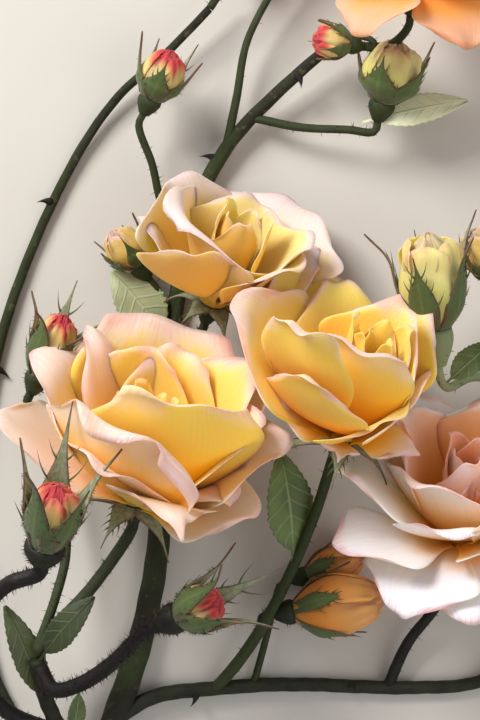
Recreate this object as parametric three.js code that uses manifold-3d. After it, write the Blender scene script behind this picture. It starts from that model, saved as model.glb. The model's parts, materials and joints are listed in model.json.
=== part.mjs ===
// Cut flowering spray of a yellow and peach bush rose, lying on a flat surface: five open blooms,
// thirteen buds, the cane that carries them with its side stems, and the leaves among them.
// Millimetres, +Z up. X runs across the spray, and Y from the cut end of the cane to its tip.
import * as THREE from "three";
import { mergeVertices } from "three/addons/utils/BufferGeometryUtils.js";
import Module from "manifold-3d";

const wasm = await Module();
wasm.setup();

// Driving dimensions
const JOINT_GAP = 0.3;
const PETAL_THICK = 0.7;
const SEPAL_THICK = 0.7;
const SEPAL_STANDOFF = 1;
const SEPAL_BASE = -0.4;
const SEPAL_FOOT = 0.72;
const LEAF_THICK = 0.6;
const CANE_CUT_RADIUS = 4.2;
const CANE_TIP_RADIUS = 1.6;
const SIDE_RADIUS = 2.3;
const SIDE_CANE_RADIUS = 2.0;
const TWIG_RADIUS = 1.2;
const STEM_STEP = 18;
const TWIG_SIDES = 5;
const TWIG_STEP = 17;
const CURVED_TWIG_STEP = 10;
const HIP_SIDES = 5;
const HIP_SINK = 0.9;
const NECK_LONG = 4;
const PRICKLE_LONG = 4.2;
const PRICKLE_RADIUS = 1.3;
const HEART_DIP = 31;
const HEART_SIDES = 7;
const PETAL_SOFT = 6.0;
const BROAD_PETAL = 53;
const MERGE = 1e-4;
const SLIVER = 0.12;

// Rows of faces along a blade, closer together where its rim curls
const PETAL_ROWS = [0, 0.38, 0.76, 1];
const LEAF_ROWS = [0, 0.14, 0.4, 0.72, 1];
const OPEN_SEPAL_ROWS = [0, 0.34, 1];
const CLOSED_SEPAL_ROWS = [0, 0.12, 0.4, 1];
const LONG_SEPAL_ROWS = [0, 0.12, 0.3, 0.6, 1];

const LOOKS = {
  wood: { color: "#4a3f36", roughness: 0.7, metalness: 0 },
  stem: { color: "#4c5a34", roughness: 0.6, metalness: 0 },
  calyx: { color: "#5f7440", roughness: 0.65, metalness: 0 },
  leaf: { color: "#52683a", roughness: 0.6, metalness: 0 },
  gold: { color: "#f6bd45", roughness: 0.55, metalness: 0 },
  peach: { color: "#f3c08f", roughness: 0.55, metalness: 0 },
  cream: { color: "#ecdcc4", roughness: 0.55, metalness: 0 },
  orange: { color: "#d9853a", roughness: 0.55, metalness: 0 },
  coral: { color: "#d8504a", roughness: 0.55, metalness: 0 },
};

const radians = (degrees) => THREE.MathUtils.degToRad(degrees);
const smooth = (t) => THREE.MathUtils.smoothstep(t, 0, 1);

// Solids and their meshes

function solidOf(geometry) {
  const bare = geometry.clone();
  bare.deleteAttribute("normal");
  bare.deleteAttribute("uv");
  const merged = mergeVertices(bare, MERGE);
  return new wasm.Manifold(new wasm.Mesh({
    numProp: 3,
    vertProperties: Float32Array.from(merged.attributes.position.array),
    triVerts: Uint32Array.from(merged.index.array),
  }));
}

function geometryOf(solid) {
  const mesh = solid.getMesh();
  const geometry = new THREE.BufferGeometry();
  geometry.setAttribute("position", new THREE.BufferAttribute(new Float32Array(mesh.vertProperties), 3));
  geometry.setIndex(new THREE.BufferAttribute(new Uint32Array(mesh.triVerts), 1));
  geometry.computeVertexNormals();
  return geometry;
}

// The largest body of a solid, with its slivers, scraps and sealed hollows left out
function mainBody(solid) {
  const bodies = solid.simplify(SLIVER).decompose();
  return bodies.reduce((most, body) => (body.volume() > most.volume() ? body : most));
}

const union = (solids) => wasm.Manifold.union(solids);

// A flower's own frame: Z along its axis, X as near to the spray's X as that allows

function flowerFrame(seat, axis) {
  const up = new THREE.Vector3(...axis).normalize();
  const side = new THREE.Vector3(1, 0, 0).addScaledVector(up, -up.x).normalize();
  const back = new THREE.Vector3().crossVectors(up, side);
  return { seat: new THREE.Vector3(...seat), up, side, back };
}

function inFrame(frame, x, y, z) {
  return frame.seat.clone()
    .addScaledVector(frame.side, x)
    .addScaledVector(frame.back, y)
    .addScaledVector(frame.up, z);
}

function turnedSolid(frame, outline, sides) {
  const points = outline.map(([radius, height]) => new THREE.Vector2(radius, height));
  const geometry = new THREE.LatheGeometry(points, sides);
  const place = geometry.attributes.position;
  for (let i = 0; i < place.count; i += 1) {
    const point = inFrame(frame, place.getX(i), -place.getZ(i), place.getY(i));
    place.setXYZ(i, point.x, point.y, point.z);
  }
  return solidOf(geometry);
}

// A tapering limb along a smooth route, grown all round by "grow"

function limb(route, startRadius, endRadius, sides, spacing, grow) {
  const curve = new THREE.CatmullRomCurve3(route.map((point) => new THREE.Vector3(...point)));
  const steps = Math.max(2, Math.round(curve.getLength() / spacing));
  const frames = curve.computeFrenetFrames(steps);
  const geometry = new THREE.CylinderGeometry(1, 1, 1, sides, steps);
  const place = geometry.attributes.position;
  for (let i = 0; i < place.count; i += 1) {
    const step = Math.round((place.getY(i) + 0.5) * steps);
    const radius = THREE.MathUtils.lerp(startRadius, endRadius, step / steps) + grow;
    const beyond = grow * ((step === steps) - (step === 0));
    const point = curve.getPointAt(step / steps)
      .addScaledVector(frames.tangents[step], beyond)
      .addScaledVector(frames.normals[step], place.getX(i) * radius)
      .addScaledVector(frames.binormals[step], -place.getZ(i) * radius);
    place.setXYZ(i, point.x, point.y, point.z);
  }
  return solidOf(geometry);
}

// Hooked prickles along a limb, turned round it by an even angle from one to the next

function prickles(route, startRadius, endRadius, count, grow) {
  const curve = new THREE.CatmullRomCurve3(route.map((point) => new THREE.Vector3(...point)));
  const spikes = [];
  for (let i = 0; i < count; i += 1) {
    const along = (i + 0.6) / count;
    const angle = radians(40 + 55 * Math.sin(i * 2.1));
    const centre = curve.getPointAt(along);
    const tangent = curve.getTangentAt(along);
    const side = new THREE.Vector3().crossVectors(tangent, new THREE.Vector3(0, 0, 1)).normalize();
    const flip = i % 2 === 0 ? 1 : -1;
    const out = side.multiplyScalar(flip * Math.cos(angle)).add(new THREE.Vector3(0, 0, Math.sin(angle)));
    const radius = THREE.MathUtils.lerp(startRadius, endRadius, along);
    const cone = new THREE.ConeGeometry(PRICKLE_RADIUS + grow, PRICKLE_LONG + grow, 3);
    cone.translate(0, PRICKLE_LONG / 2, 0);
    const lean = out.clone().addScaledVector(tangent, -0.35).normalize();
    cone.applyQuaternion(new THREE.Quaternion().setFromUnitVectors(new THREE.Vector3(0, 1, 0), lean));
    const foot = centre.clone().addScaledVector(out, radius * 0.7);
    cone.translate(foot.x, foot.y, foot.z);
    spikes.push(solidOf(cone));
  }
  return spikes;
}

// Blades: petals, sepals and leaves are one thin bent box each. v runs from the foot to the tip
// and u from the left edge to the right one. "rise" is the heading of the midline above the
// plane across the flower's axis at the foot, a third, two thirds and the tip.

const HALF_WIDTH = {
  petal: (v) => (0.26 + 0.74 * smooth(v / 0.62)) * (1 - 0.3 * smooth((v - 0.62) / 0.38)),
  sepal: (v) => (0.62 + 0.5 * smooth(v / 0.2)) * Math.exp(-((v / 0.47) ** 2.4)) + 0.09 * (1 - v) + 0.02,
  leaf: (v) => (v < 0.15 ? 0.1 : Math.sin(Math.PI * ((v - 0.14) / 0.87) ** 0.8) ** 0.85 + 0.04),
};

const BLADE = {
  form: "petal",
  turn: 0,
  long: 40,
  wide: 40,
  rise: [40, 55, 60, 50],
  cup: 0.5,
  curl: 0,
  curlPart: 0.25,
  rollRight: 0,
  rollPart: 0.3,
  spin: 9,
  round: 0.22,
  start: 3,
  base: 0.8,
  thick: PETAL_THICK,
  rows: PETAL_ROWS,
  columns: 2,
};

const MIDLINE_STEPS = 18;
const SECTION_STEPS = 8;

function headingAt(blade, v) {
  const t = THREE.MathUtils.clamp(v, 0, 1) * 3;
  const i = Math.min(Math.floor(t), 2);
  const heading = THREE.MathUtils.lerp(blade.rise[i], blade.rise[i + 1], t - i);
  return radians(heading - blade.curl * smooth((v - (1 - blade.curlPart)) / blade.curlPart));
}

// Distance from the axis, height and heading of the midline at a share of its length
function midline(blade, end, grow) {
  const long = blade.long + grow;
  let out = blade.start;
  let up = blade.base;
  for (let i = 0; i < MIDLINE_STEPS; i += 1) {
    const heading = headingAt(blade, end * (i + 0.5) / MIDLINE_STEPS);
    out += Math.cos(heading) * long * end / MIDLINE_STEPS;
    up += Math.sin(heading) * long * end / MIDLINE_STEPS;
  }
  return [out, up, headingAt(blade, end)];
}

// The same where the midline is a short row of points, one for each row of faces
function pathPoint(blade, end, grow) {
  const row = blade.rows.indexOf(end);
  const [out, up] = blade.path[row];
  const before = blade.path[Math.max(row - 1, 0)];
  const after = blade.path[Math.min(row + 1, blade.path.length - 1)];
  const heading = Math.atan2(after[1] - before[1], after[0] - before[0]);
  const reach = row === blade.path.length - 1 ? grow : 0;
  return [out + Math.cos(heading) * reach, up + Math.sin(heading) * reach, heading];
}

// A point of the blade's middle surface moved by "lift" along its inner normal, in the flower's frame
function bladePoint(blade, u, v, lift, grow) {
  const end = v * (1 - blade.round * Math.abs(u) ** 2.2);
  const [out, up, heading] = (blade.path ? pathPoint : midline)(blade, end, grow);
  const half = HALF_WIDTH[blade.form](end) * blade.wide / 2 + grow;
  const bend = blade.cup * Math.max(Math.sin(heading), 0.25) / (Math.abs(out) + PETAL_SOFT);
  const roll = u > 0 ? radians(blade.rollRight) * smooth(v / 0.8) : 0;
  const sense = Math.sign(u);
  let across = 0;
  let inward = 0;
  let slope = 0;
  for (let i = 0; i < SECTION_STEPS; i += 1) {
    const t = Math.abs(u) * (i + 0.5) / SECTION_STEPS;
    slope = bend * half * t - roll * smooth((t - (1 - blade.rollPart)) / blade.rollPart);
    across += sense * Math.cos(slope) * half * Math.abs(u) / SECTION_STEPS;
    inward += Math.sin(slope) * half * Math.abs(u) / SECTION_STEPS;
  }
  across += -sense * Math.sin(slope) * lift;
  inward += Math.cos(slope) * lift;
  const spin = radians(blade.spin);
  const sideways = across * Math.cos(spin) - inward * Math.sin(spin);
  const towards = across * Math.sin(spin) + inward * Math.cos(spin);
  const radial = out - Math.sin(heading) * towards;
  const height = up + Math.cos(heading) * towards;
  const turn = radians(blade.turn);
  return [
    radial * Math.cos(turn) - sideways * Math.sin(turn),
    radial * Math.sin(turn) + sideways * Math.cos(turn),
    height,
  ];
}

function bladeSolid(frame, choices, grow) {
  const blade = { ...BLADE, ...choices };
  const rows = blade.rows;
  const geometry = new THREE.BoxGeometry(2, 1, 1, blade.columns, rows.length - 1, 1);
  const place = geometry.attributes.position;
  for (let i = 0; i < place.count; i += 1) {
    const row = Math.round((place.getY(i) + 0.5) * (rows.length - 1));
    const lift = -place.getZ(i) * (blade.thick + 2 * grow);
    const point = inFrame(frame, ...bladePoint(blade, place.getX(i), rows[row], lift, grow));
    place.setXYZ(i, point.x, point.y, point.z);
  }
  return solidOf(geometry);
}

// Whorls, from the inside of a bloom to the petals that opened first
const WHORLS = {
  inner: { long: 42, wide: 34, rise: [52, 76, 86, 78], cup: 0.85, start: 3, base: 4 },
  cup: { long: 46, wide: 45, rise: [42, 62, 70, 58], cup: 0.7, curl: 50, start: 3.4, base: 2.6 },
  outer: { long: 47, wide: 43, rise: [30, 42, 42, 20], cup: 0.4, curl: 50, start: 3.8, base: 1.6 },
  guard: { long: 42, wide: 40, rise: [22, 20, 8, -15], cup: 0.3, start: 4, base: 1 },
};

const petal = (whorl, turn, choices = {}) => ({ ...WHORLS[whorl], turn, ...choices });

// A petal at its bloom's size, with one more column of faces where it is broad
function scaled(blade, size) {
  const columns = blade.wide > BROAD_PETAL ? 3 : 2;
  return { ...blade, long: blade.long * size, wide: blade.wide * size, columns };
}

// Half width and height of the closed heart of a bloom, from its foot to its crown
const HEART_PROFILE = [[5.5, 0], [11.5, 8], [11.5, 24], [8, 37]];

// A corolla: petals fused on the closed heart at its middle
function corolla(bloom, grow) {
  const frame = flowerFrame(bloom.seat, bloom.axis);
  const tall = bloom.size * bloom.heart;
  const outline = [[0, JOINT_GAP - grow]];
  for (const [wide, high] of HEART_PROFILE) {
    outline.push([bloom.size * wide + grow, JOINT_GAP + tall * high - grow * (high === 0)]);
  }
  outline.push([0, tall * HEART_DIP]);
  const petals = bloom.petals.map((blade) => bladeSolid(frame, scaled(blade, bloom.size), grow));
  return union([turnedSolid(frame, outline, HEART_SIDES), ...petals]);
}

// Width of a closed bud, as a share of its radius, against height as a share of its length
const BUD_PROFILE = [[0.34, 0], [0.76, 0.18], [1, 0.42], [0.88, 0.64], [0.5, 0.87]];

// A bud's closed corolla
function closedBud(bud, grow) {
  const frame = flowerFrame(bud.seat, bud.axis);
  const outline = [[0, JOINT_GAP - grow]];
  for (const [wide, high] of BUD_PROFILE) {
    outline.push([bud.radius * wide + grow, JOINT_GAP + bud.long * high]);
  }
  outline.push([0, JOINT_GAP + bud.long + grow]);
  return turnedSolid(frame, outline, bud.sides ?? 6);
}

// Width of a hip, as a share of its radius, against height as a share of its length
const HIP_PROFILE = [[0, -1], [0.5, -1], [1, -0.35], [0.92, 0], [0, 0]];

// Hip, sepals and the stalk that carries them, fused to one solid. The stalk's end is sunk in the
// hip, and its last stretch, the neck, runs along the flower's axis.
function calyx(flower, grow) {
  const frame = flowerFrame(flower.seat, flower.axis);
  const { hipRadius, hipLong } = flower;
  const hip = HIP_PROFILE.map(([wide, high]) => [wide * (hipRadius + grow), high * (hipLong + 2 * grow)]);
  const foot = inFrame(frame, 0, 0, -hipLong * HIP_SINK);
  const neck = inFrame(frame, 0, 0, -hipLong * HIP_SINK - NECK_LONG);
  const route = [...flower.stalk, neck.toArray(), foot.toArray()];
  const [first, last] = flower.stalkRadii;
  const step = flower.curved ? CURVED_TWIG_STEP : TWIG_STEP;
  return union([
    turnedSolid(frame, hip, HIP_SIDES),
    limb(route, first, last, TWIG_SIDES, step, grow),
    ...flower.sepals.map((sepal) => bladeSolid(frame, { ...SEPAL, ...sepal }, grow)),
  ]);
}

const SEPAL = {
  form: "sepal",
  thick: SEPAL_THICK,
  columns: 1,
  start: 2.6,
  base: SEPAL_BASE,
  cup: 0,
  spin: 0,
  round: 0,
};

// Lengths of the five sepals of a calyx, as shares of the longest
const SEPAL_SHARES = [1, 0.82, 0.95, 0.74, 0.88];
const REFLEXED = [-5, -25, -45, -60];

// Sepals bent back under an open bloom
function openSepals(firstTurn, long, wide) {
  return SEPAL_SHARES.map((share, i) => (
    { turn: firstTurn + 72 * i, long: long * share, wide, rise: REFLEXED, rows: OPEN_SEPAL_ROWS }
  ));
}

// Sepals that lie on a bud up to its widest ring and stand free beyond it, at the heading "flare"
function closedSepals(bud) {
  const { firstTurn, long, wide, flare } = bud.sepal;
  const [, shoulder, widest] = BUD_PROFILE;
  const reach = widest[1] * bud.long;
  const laid = [
    [bud.hipRadius * SEPAL_FOOT, SEPAL_BASE],
    [shoulder[0] * bud.radius + SEPAL_STANDOFF, shoulder[1] * bud.long],
    [bud.radius + SEPAL_STANDOFF, reach],
  ];
  return SEPAL_SHARES.map((part, i) => {
    const free = Math.max(long * part - reach, 3);
    const angle = radians(flare + 9 * Math.sin(2.4 * i));
    const middle = [laid[2][0] + 0.08 * free, laid[2][1] + 0.45 * free];
    const tip = [middle[0] + 0.55 * free * Math.cos(angle), middle[1] + 0.55 * free * Math.sin(angle)];
    const path = [...laid, ...(bud.longSepals ? [middle] : []), tip];
    const rows = bud.longSepals ? LONG_SEPAL_ROWS : CLOSED_SEPAL_ROWS;
    return { turn: firstTurn + 72 * i, wide, path, rows };
  });
}

// Stems and their routes, lying with the cane and the long side stems on the surface
const CANE = [
  [-42, -131, 4.3], [-39, -112, 4.2], [-33, -95, 4.1], [-27, -72, 3.9], [-23, -42, 3.6],
  [-21, -12, 3.3], [-19, 18, 3], [-13, 46, 2.8], [-2, 66, 4.5], [13, 81, 8], [28, 94, 11],
];
const LEFT_STEM = [[-41, -127, 5], [-50, -114, 10], [-56, -101, 18], [-59, -87, 24]];
const RIGHT_STEM = [
  [-38, -108, 4.3], [-27, -101, 3.4], [-6, -98, 2.5], [18, -97, 2.3], [48, -98, 2.1],
  [72, -96, 2.2], [82, -88, 4], [84, -76, 8],
];
const SIDE_CANE = [
  [-42, -122, 4.4], [-60, -115, 3], [-73, -96, 2.1], [-78, -69, 2], [-78, -39, 1.9], [-75, -9, 1.8],
  [-68, 18, 1.7], [-58, 43, 1.7], [-47, 64, 2.2], [-36, 79, 4], [-22, 91, 7], [-9, 104, 9],
];

// Open blooms, petal by petal from the inside out. "heart" is the height of the closed middle as
// a share of HEART_PROFILE's.
const FRONT_BLOOM = {
  seat: [-30, -40, 28],
  axis: [0.13, 0.81, 0.57],
  size: 1,
  heart: 0.97,
  petals: [
    petal("inner", 100, { long: 42, wide: 34, rise: [46, 66, 84, 92], spin: -20, round: 0.1 }),
    petal("cup", 289, {
      long: 60, wide: 54, rise: [42, 60, 75, 92], curl: 40, curlPart: 0.12, spin: -16, round: 0.06,
    }),
    petal("cup", 20, { long: 50, wide: 46, rise: [44, 60, 68, 62], curl: 30 }),
    petal("cup", 82, { long: 49, wide: 54, rise: [50, 61, 64, 64], curl: 20, round: 0.06, spin: 6 }),
    petal("cup", 250, {
      long: 60, wide: 60, rise: [32, 51, 82, 82], curl: 130, curlPart: 0.2, rollRight: 150, spin: -9,
    }),
    petal("cup", 152, {
      long: 51, wide: 58, rise: [44, 52, 60, 66], curl: 80, curlPart: 0.3, spin: 6, round: 0.28,
    }),
    petal("outer", 249, { long: 45, wide: 42, rise: [40, 52, 56, 48], curl: 30, spin: -12 }),
    petal("outer", 184, { long: 46, wide: 50, rise: [26, 34, 38, 32], curl: 0 }),
    petal("guard", 284, { long: 47, wide: 33, rise: [38, 45, 34, 2], spin: -16 }),
    petal("guard", 325, { long: 35, wide: 37, rise: [34, 42, 42, -32], spin: -10 }),
    petal("guard", 331, { long: 37, wide: 34, rise: [20, 24, 24, 10] }),
  ],
};

const MIDDLE_BLOOM = {
  seat: [29, -21, 34],
  axis: [0.24, 0.76, 0.6],
  size: 1,
  heart: 1,
  petals: [
    petal("cup", 250, {
      long: 44, wide: 34, rise: [56, 71, 83, 82], curl: 60, curlPart: 0.15, spin: 3, round: 0.06,
    }),
    petal("cup", 217, {
      long: 57, wide: 30, rise: [45, 52, 64, 96], curl: 80, curlPart: 0.14, spin: 20, round: 0.05,
    }),
    petal("cup", 228, { long: 44, wide: 35, rise: [30, 40, 62, 90], curl: 60, curlPart: 0.15, spin: 14 }),
    petal("cup", 49, { long: 40, wide: 45, rise: [62, 78, 84, 94], curl: 30, spin: -9 }),
    petal("cup", 292, { long: 28, wide: 42, rise: [42, 55, 58, 45], curl: 10, spin: 26 }),
    petal("cup", 176, { long: 51, wide: 52, rise: [33, 43, 46, 70], curl: 60, curlPart: 0.2, spin: -10 }),
    petal("outer", 116, { long: 51, wide: 58, rise: [30, 37, 36, 50], curl: 30, spin: 16 }),
    petal("outer", 348, { long: 30, wide: 54, rise: [48, 60, 70, 76], curl: 10, spin: -3 }),
    petal("guard", 335, { long: 20, wide: 24, rise: [30, 24, 10, -20], spin: 0, round: 0.35 }),
  ],
};

// A ring of petals of one whorl, evenly turned with a small regular unevenness
function ring(whorl, count, firstTurn, choices = {}) {
  return Array.from({ length: count }, (_, i) => {
    const turn = firstTurn + (360 / count) * i + 9 * Math.sin(3 * i + firstTurn);
    const long = (choices.long ?? WHORLS[whorl].long) * (1 + 0.05 * Math.cos(2 * i));
    return petal(whorl, turn, { ...choices, long });
  });
}

const BACK_BLOOM = {
  seat: [-8, 17, 21.6],
  axis: [0.3, 0.8, 0.5],
  size: 1,
  heart: 0.8,
  petals: [
    petal("cup", 245, { long: 34, wide: 42, rise: [30, 42, 57, 78], curl: 20, spin: 21 }),
    petal("cup", 206, { long: 36, wide: 52, rise: [50, 64, 66, 50], curl: 120, spin: -3 }),
    petal("outer", 135, { long: 35, wide: 54, rise: [36, 48, 59, 79], curl: 40, spin: -2 }),
    petal("outer", 170, { long: 30, wide: 36, rise: [30, 40, 44, 42] }),
    petal("outer", 56, { long: 39, wide: 60, rise: [35, 42, 38, 60], spin: -8 }),
  ],
};

const PALE_BLOOM = {
  seat: [64, -52, 18],
  axis: [0.05, 0.8, 0.6],
  size: 0.95,
  heart: 0.92,
  petals: [
    ...ring("cup", 3, 50, { rise: [44, 62, 70, 62], long: 43 }),
    petal("outer", 175, { long: 44, rise: [34, 42, 40, 20] }),
    petal("outer", 120, { long: 46, rise: [34, 48, 50, 40] }),
    petal("outer", 60, { long: 46, rise: [34, 46, 50, 38] }),
    petal("outer", 5, { long: 44, rise: [30, 40, 40, 26] }),
    petal("guard", 203, { long: 40, rise: [10, 20, 14, -5] }),
    petal("guard", 238, { long: 36, rise: [10, 6, -12, -40] }),
    petal("guard", 272, { long: 34, wide: 36, rise: [14, 6, -10, -30] }),
    petal("guard", 315, { long: 40, rise: [5, 4, -12, -40] }),
  ],
};

const CORNER_BLOOM = {
  seat: [50, 106, 27],
  axis: [0.12, 0.95, 0.28],
  size: 0.74,
  heart: 1,
  petals: [
    ...ring("cup", 3, 30),
    ...ring("outer", 3, 80),
    petal("guard", 235, { long: 38, rise: [5, -15, -40, -60] }),
    petal("guard", 305, { long: 38, rise: [5, -15, -40, -60] }),
  ],
};

const BLOOMS = [
  {
    name: "front_bloom",
    look: "gold",
    ...FRONT_BLOOM,
    hipRadius: 4.4,
    hipLong: 8,
    stalk: [[-59, -85, 24], [-53, -77, 23], [-43, -66, 20]],
    stalkRadii: [2, 1.7],
    sepals: openSepals(20, 22, 7),
  },
  {
    name: "middle_bloom",
    look: "gold",
    ...MIDDLE_BLOOM,
    hipRadius: 4.2,
    hipLong: 7.5,
    stalk: [[-8, -99, 2.6], [0, -89, 7], [8, -76, 13], [17, -57, 19], [23, -41, 24]],
    stalkRadii: [1.8, 1.5],
    sepals: openSepals(50, 21, 6.5),
  },
  {
    name: "back_bloom",
    look: "peach",
    ...BACK_BLOOM,
    hipRadius: 4,
    hipLong: 7,
    stalk: [[-21, -6, 3.3], [-18, 1, 6], [-14, 7, 11.5]],
    stalkRadii: [1.5, 1.3],
    sepals: openSepals(10, 15, 6),
  },
  {
    name: "pale_bloom",
    look: "cream",
    ...PALE_BLOOM,
    hipRadius: 4,
    hipLong: 7.5,
    stalk: [[44, -98, 2.1], [50, -84, 6], [58, -73, 9]],
    stalkRadii: [1.7, 1.5],
    sepals: openSepals(36, 18, 6),
  },
  {
    name: "corner_bloom",
    look: "orange",
    ...CORNER_BLOOM,
    hipRadius: 3.6,
    hipLong: 6.5,
    stalk: [[26, 92, 10.6], [35, 92, 15], [44, 92, 20]],
    stalkRadii: [1.4, 1.2],
    sepals: openSepals(0, 15, 5),
  },
];

// Buds, from the one nearest the viewer to those at the far end
const BUDS = [
  {
    name: "near_bud",
    longSepals: true,
    look: "coral",
    seat: [-53, -50, 63],
    axis: [0.22, 0.81, 0.54],
    radius: 6.6,
    long: 20,
    sides: 8,
    hipRadius: 5.8,
    hipLong: 7.5,
    stalk: [[-52, -110, 13], [-67, -103, 20], [-75, -89, 32], [-74, -73, 44], [-64, -62, 54]],
    stalkRadii: [2.4, 2.2],
    curved: true,
    sepal: { firstTurn: 91, long: 38, wide: 9, flare: 66 },
  },
  {
    name: "left_bud",
    longSepals: true,
    look: "coral",
    seat: [-58, -4, 25],
    axis: [0.4, 0.84, 0.37],
    radius: 5.4,
    long: 20,
    sides: 8,
    hipRadius: 3.8,
    hipLong: 6.5,
    stalk: [[-59, -84, 24], [-54, -70, 20], [-51, -56, 15], [-53, -38, 12], [-59, -22, 14]],
    stalkRadii: [1.4, 1.3],
    sepal: { firstTurn: 91, long: 30, wide: 7, flare: 50 },
  },
  {
    name: "low_bud",
    longSepals: true,
    look: "coral",
    seat: [-17, -72, 44],
    axis: [0.84, 0.38, 0.37],
    radius: 5.8,
    long: 14,
    sides: 8,
    hipRadius: 4.6,
    hipLong: 8,
    stalk: [[-58, -89, 24], [-54, -95, 27], [-46, -93, 31], [-36, -86, 36]],
    stalkRadii: [2.3, 2.2],
    curved: true,
    sepal: { firstTurn: 51, long: 30, wide: 7, flare: 55 },
  },
  {
    name: "half_open_bud",
    longSepals: true,
    look: "gold",
    seat: [56, 9, 32],
    axis: [-0.1, 0.96, 0.25],
    radius: 9,
    long: 28,
    sides: 8,
    hipRadius: 5,
    hipLong: 11,
    stalk: [
      [84, -78, 7.6], [91, -66, 4.5], [96, -46, 2.6], [93, -22, 2.6], [82, -8, 5], [69, -5, 12], [60.5, -8, 21],
    ],
    stalkRadii: [1.5, 1.3],
    curved: true,
    sepal: { firstTurn: 30, long: 33, wide: 7.5, flare: 62 },
  },
  {
    name: "orange_bud",
    look: "orange",
    seat: [16, -74, 13],
    axis: [0.98, 0.15, 0.1],
    radius: 8.6,
    long: 27,
    sides: 8,
    hipRadius: 3.8,
    hipLong: 6,
    stalk: [[6, -79, 11.3]],
    stalkRadii: [1.3, 1.2],
    sepal: { firstTurn: 0, long: 20, wide: 5, flare: 72 },
  },
  {
    name: "rear_bud",
    look: "orange",
    seat: [20, -64, 6.5],
    axis: [0.93, 0.34, 0.08],
    radius: 5,
    long: 18,
    hipRadius: 3,
    hipLong: 5,
    stalk: [[4, -97, 2.4], [7, -86, 3.5], [10, -74, 5]],
    stalkRadii: [1.1, 1],
    sepal: { firstTurn: 20, long: 14, wide: 4, flare: 72 },
  },
  {
    name: "top_bud",
    look: "gold",
    seat: [42, 76, 15],
    axis: [0.25, 0.92, 0.3],
    radius: 8.2,
    long: 18,
    sides: 8,
    hipRadius: 4,
    hipLong: 6,
    stalk: [[4, 72, 6], [18, 69, 8], [32, 68, 11]],
    stalkRadii: [1.3, 1.2],
    sepal: { firstTurn: 30, long: 20, wide: 8, flare: 72 },
  },
  {
    name: "red_bud",
    look: "coral",
    seat: [-26, 77, 16],
    axis: [0.42, 0.85, 0.3],
    radius: 6,
    long: 15,
    hipRadius: 3.6,
    hipLong: 5.5,
    stalk: [[-16, 36, 3], [-23, 46, 7], [-26, 58, 10]],
    stalkRadii: [1.3, 1.1],
    sepal: { firstTurn: 50, long: 19, wide: 7, flare: 72 },
  },
  {
    name: "pale_bud",
    look: "peach",
    seat: [-30, 28, 10],
    axis: [-0.6, 0.76, 0.24],
    radius: 5.2,
    long: 13,
    hipRadius: 3.2,
    hipLong: 5,
    stalk: [[-20, 8, 3.2], [-22, 15, 5]],
    stalkRadii: [1.2, 1],
    sepal: { firstTurn: 0, long: 14, wide: 5, flare: 72 },
  },
  {
    name: "edge_bud",
    look: "peach",
    seat: [77, 24, 26],
    axis: [-0.65, 0.73, 0.2],
    radius: 6,
    long: 18,
    hipRadius: 3.4,
    hipLong: 5.5,
    stalk: [[95.6, -42, 2.7], [98, -22, 5], [97, -4, 13], [91, 8, 21]],
    stalkRadii: [1.1, 1],
    sepal: { firstTurn: 15, long: 17, wide: 5, flare: 72 },
  },
  {
    name: "small_red_bud",
    look: "coral",
    seat: [32, 92, 20],
    axis: [-0.95, 0.15, 0.2],
    radius: 4.2,
    long: 11,
    hipRadius: 2.8,
    hipLong: 4,
    stalk: [[27, 93, 11], [33, 95, 15], [39, 93, 19]],
    stalkRadii: [1, 0.9],
    sepal: { firstTurn: 0, long: 12, wide: 4, flare: 72 },
  },
  {
    name: "side_tip_bud",
    look: "coral",
    seat: [0, 117, 12],
    axis: [0.3, 0.93, 0.15],
    radius: 4.6,
    long: 13,
    hipRadius: 3,
    hipLong: 4.5,
    stalk: [[-9, 104, 9.4], [-6, 108, 10]],
    stalkRadii: [1.2, 1],
    sepal: { firstTurn: 10, long: 14, wide: 4.5, flare: 72 },
  },
  {
    name: "far_bud",
    look: "peach",
    seat: [14, 121, 13],
    axis: [0.2, 0.96, 0.15],
    radius: 4.6,
    long: 13,
    hipRadius: 3,
    hipLong: 4.5,
    stalk: [[-4, 64, 4.6], [-1, 78, 7], [2, 94, 9], [9, 108, 11]],
    stalkRadii: [1.3, 1],
    sepal: { firstTurn: 30, long: 14, wide: 4.5, flare: 72 },
  },
];

// Leaves, each a blade on a short stalk. "face" is the direction that its upper side looks in.
const LEAVES = [
  {
    name: "middle_leaf",
    foot: [15.6, -60, 18.6],
    heading: [-0.1, 0.95, 0.15],
    face: [0.5, 0, 1],
    long: 34,
    wide: 15,
  },
  {
    name: "back_leaf",
    foot: [-21, 6, 5],
    heading: [-0.62, 0.75, 0.18],
    face: [0, 0.2, 1],
    long: 27,
    wide: 14,
  },
  {
    name: "edge_leaf",
    foot: [59.3, -7.2, 23.9],
    heading: [0.75, 0.65, -0.1],
    face: [-0.3, 0.2, 1],
    long: 20,
    wide: 8,
  },
  {
    name: "top_leaf",
    foot: [36, 70, 12],
    heading: [0.98, 0.2, 0.1],
    face: [0, 0.2, 1],
    long: 32,
    wide: 9,
  },
  {
    name: "dark_leaf",
    foot: [-58, -87, 25],
    heading: [0.6, 0.72, 0.33],
    face: [-0.4, 0.2, 1],
    long: 27,
    wide: 9,
  },
  {
    name: "left_leaf",
    foot: [-56, -102, 17],
    heading: [-0.35, 0.9, 0.2],
    face: [0.4, 0, 1],
    long: 34,
    wide: 9,
  },
  {
    name: "low_bract",
    foot: [-46, -93.5, 31],
    heading: [-0.15, -0.95, 0.25],
    face: [0.8, 0, 1],
    long: 17,
    wide: 6,
  },
];

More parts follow.
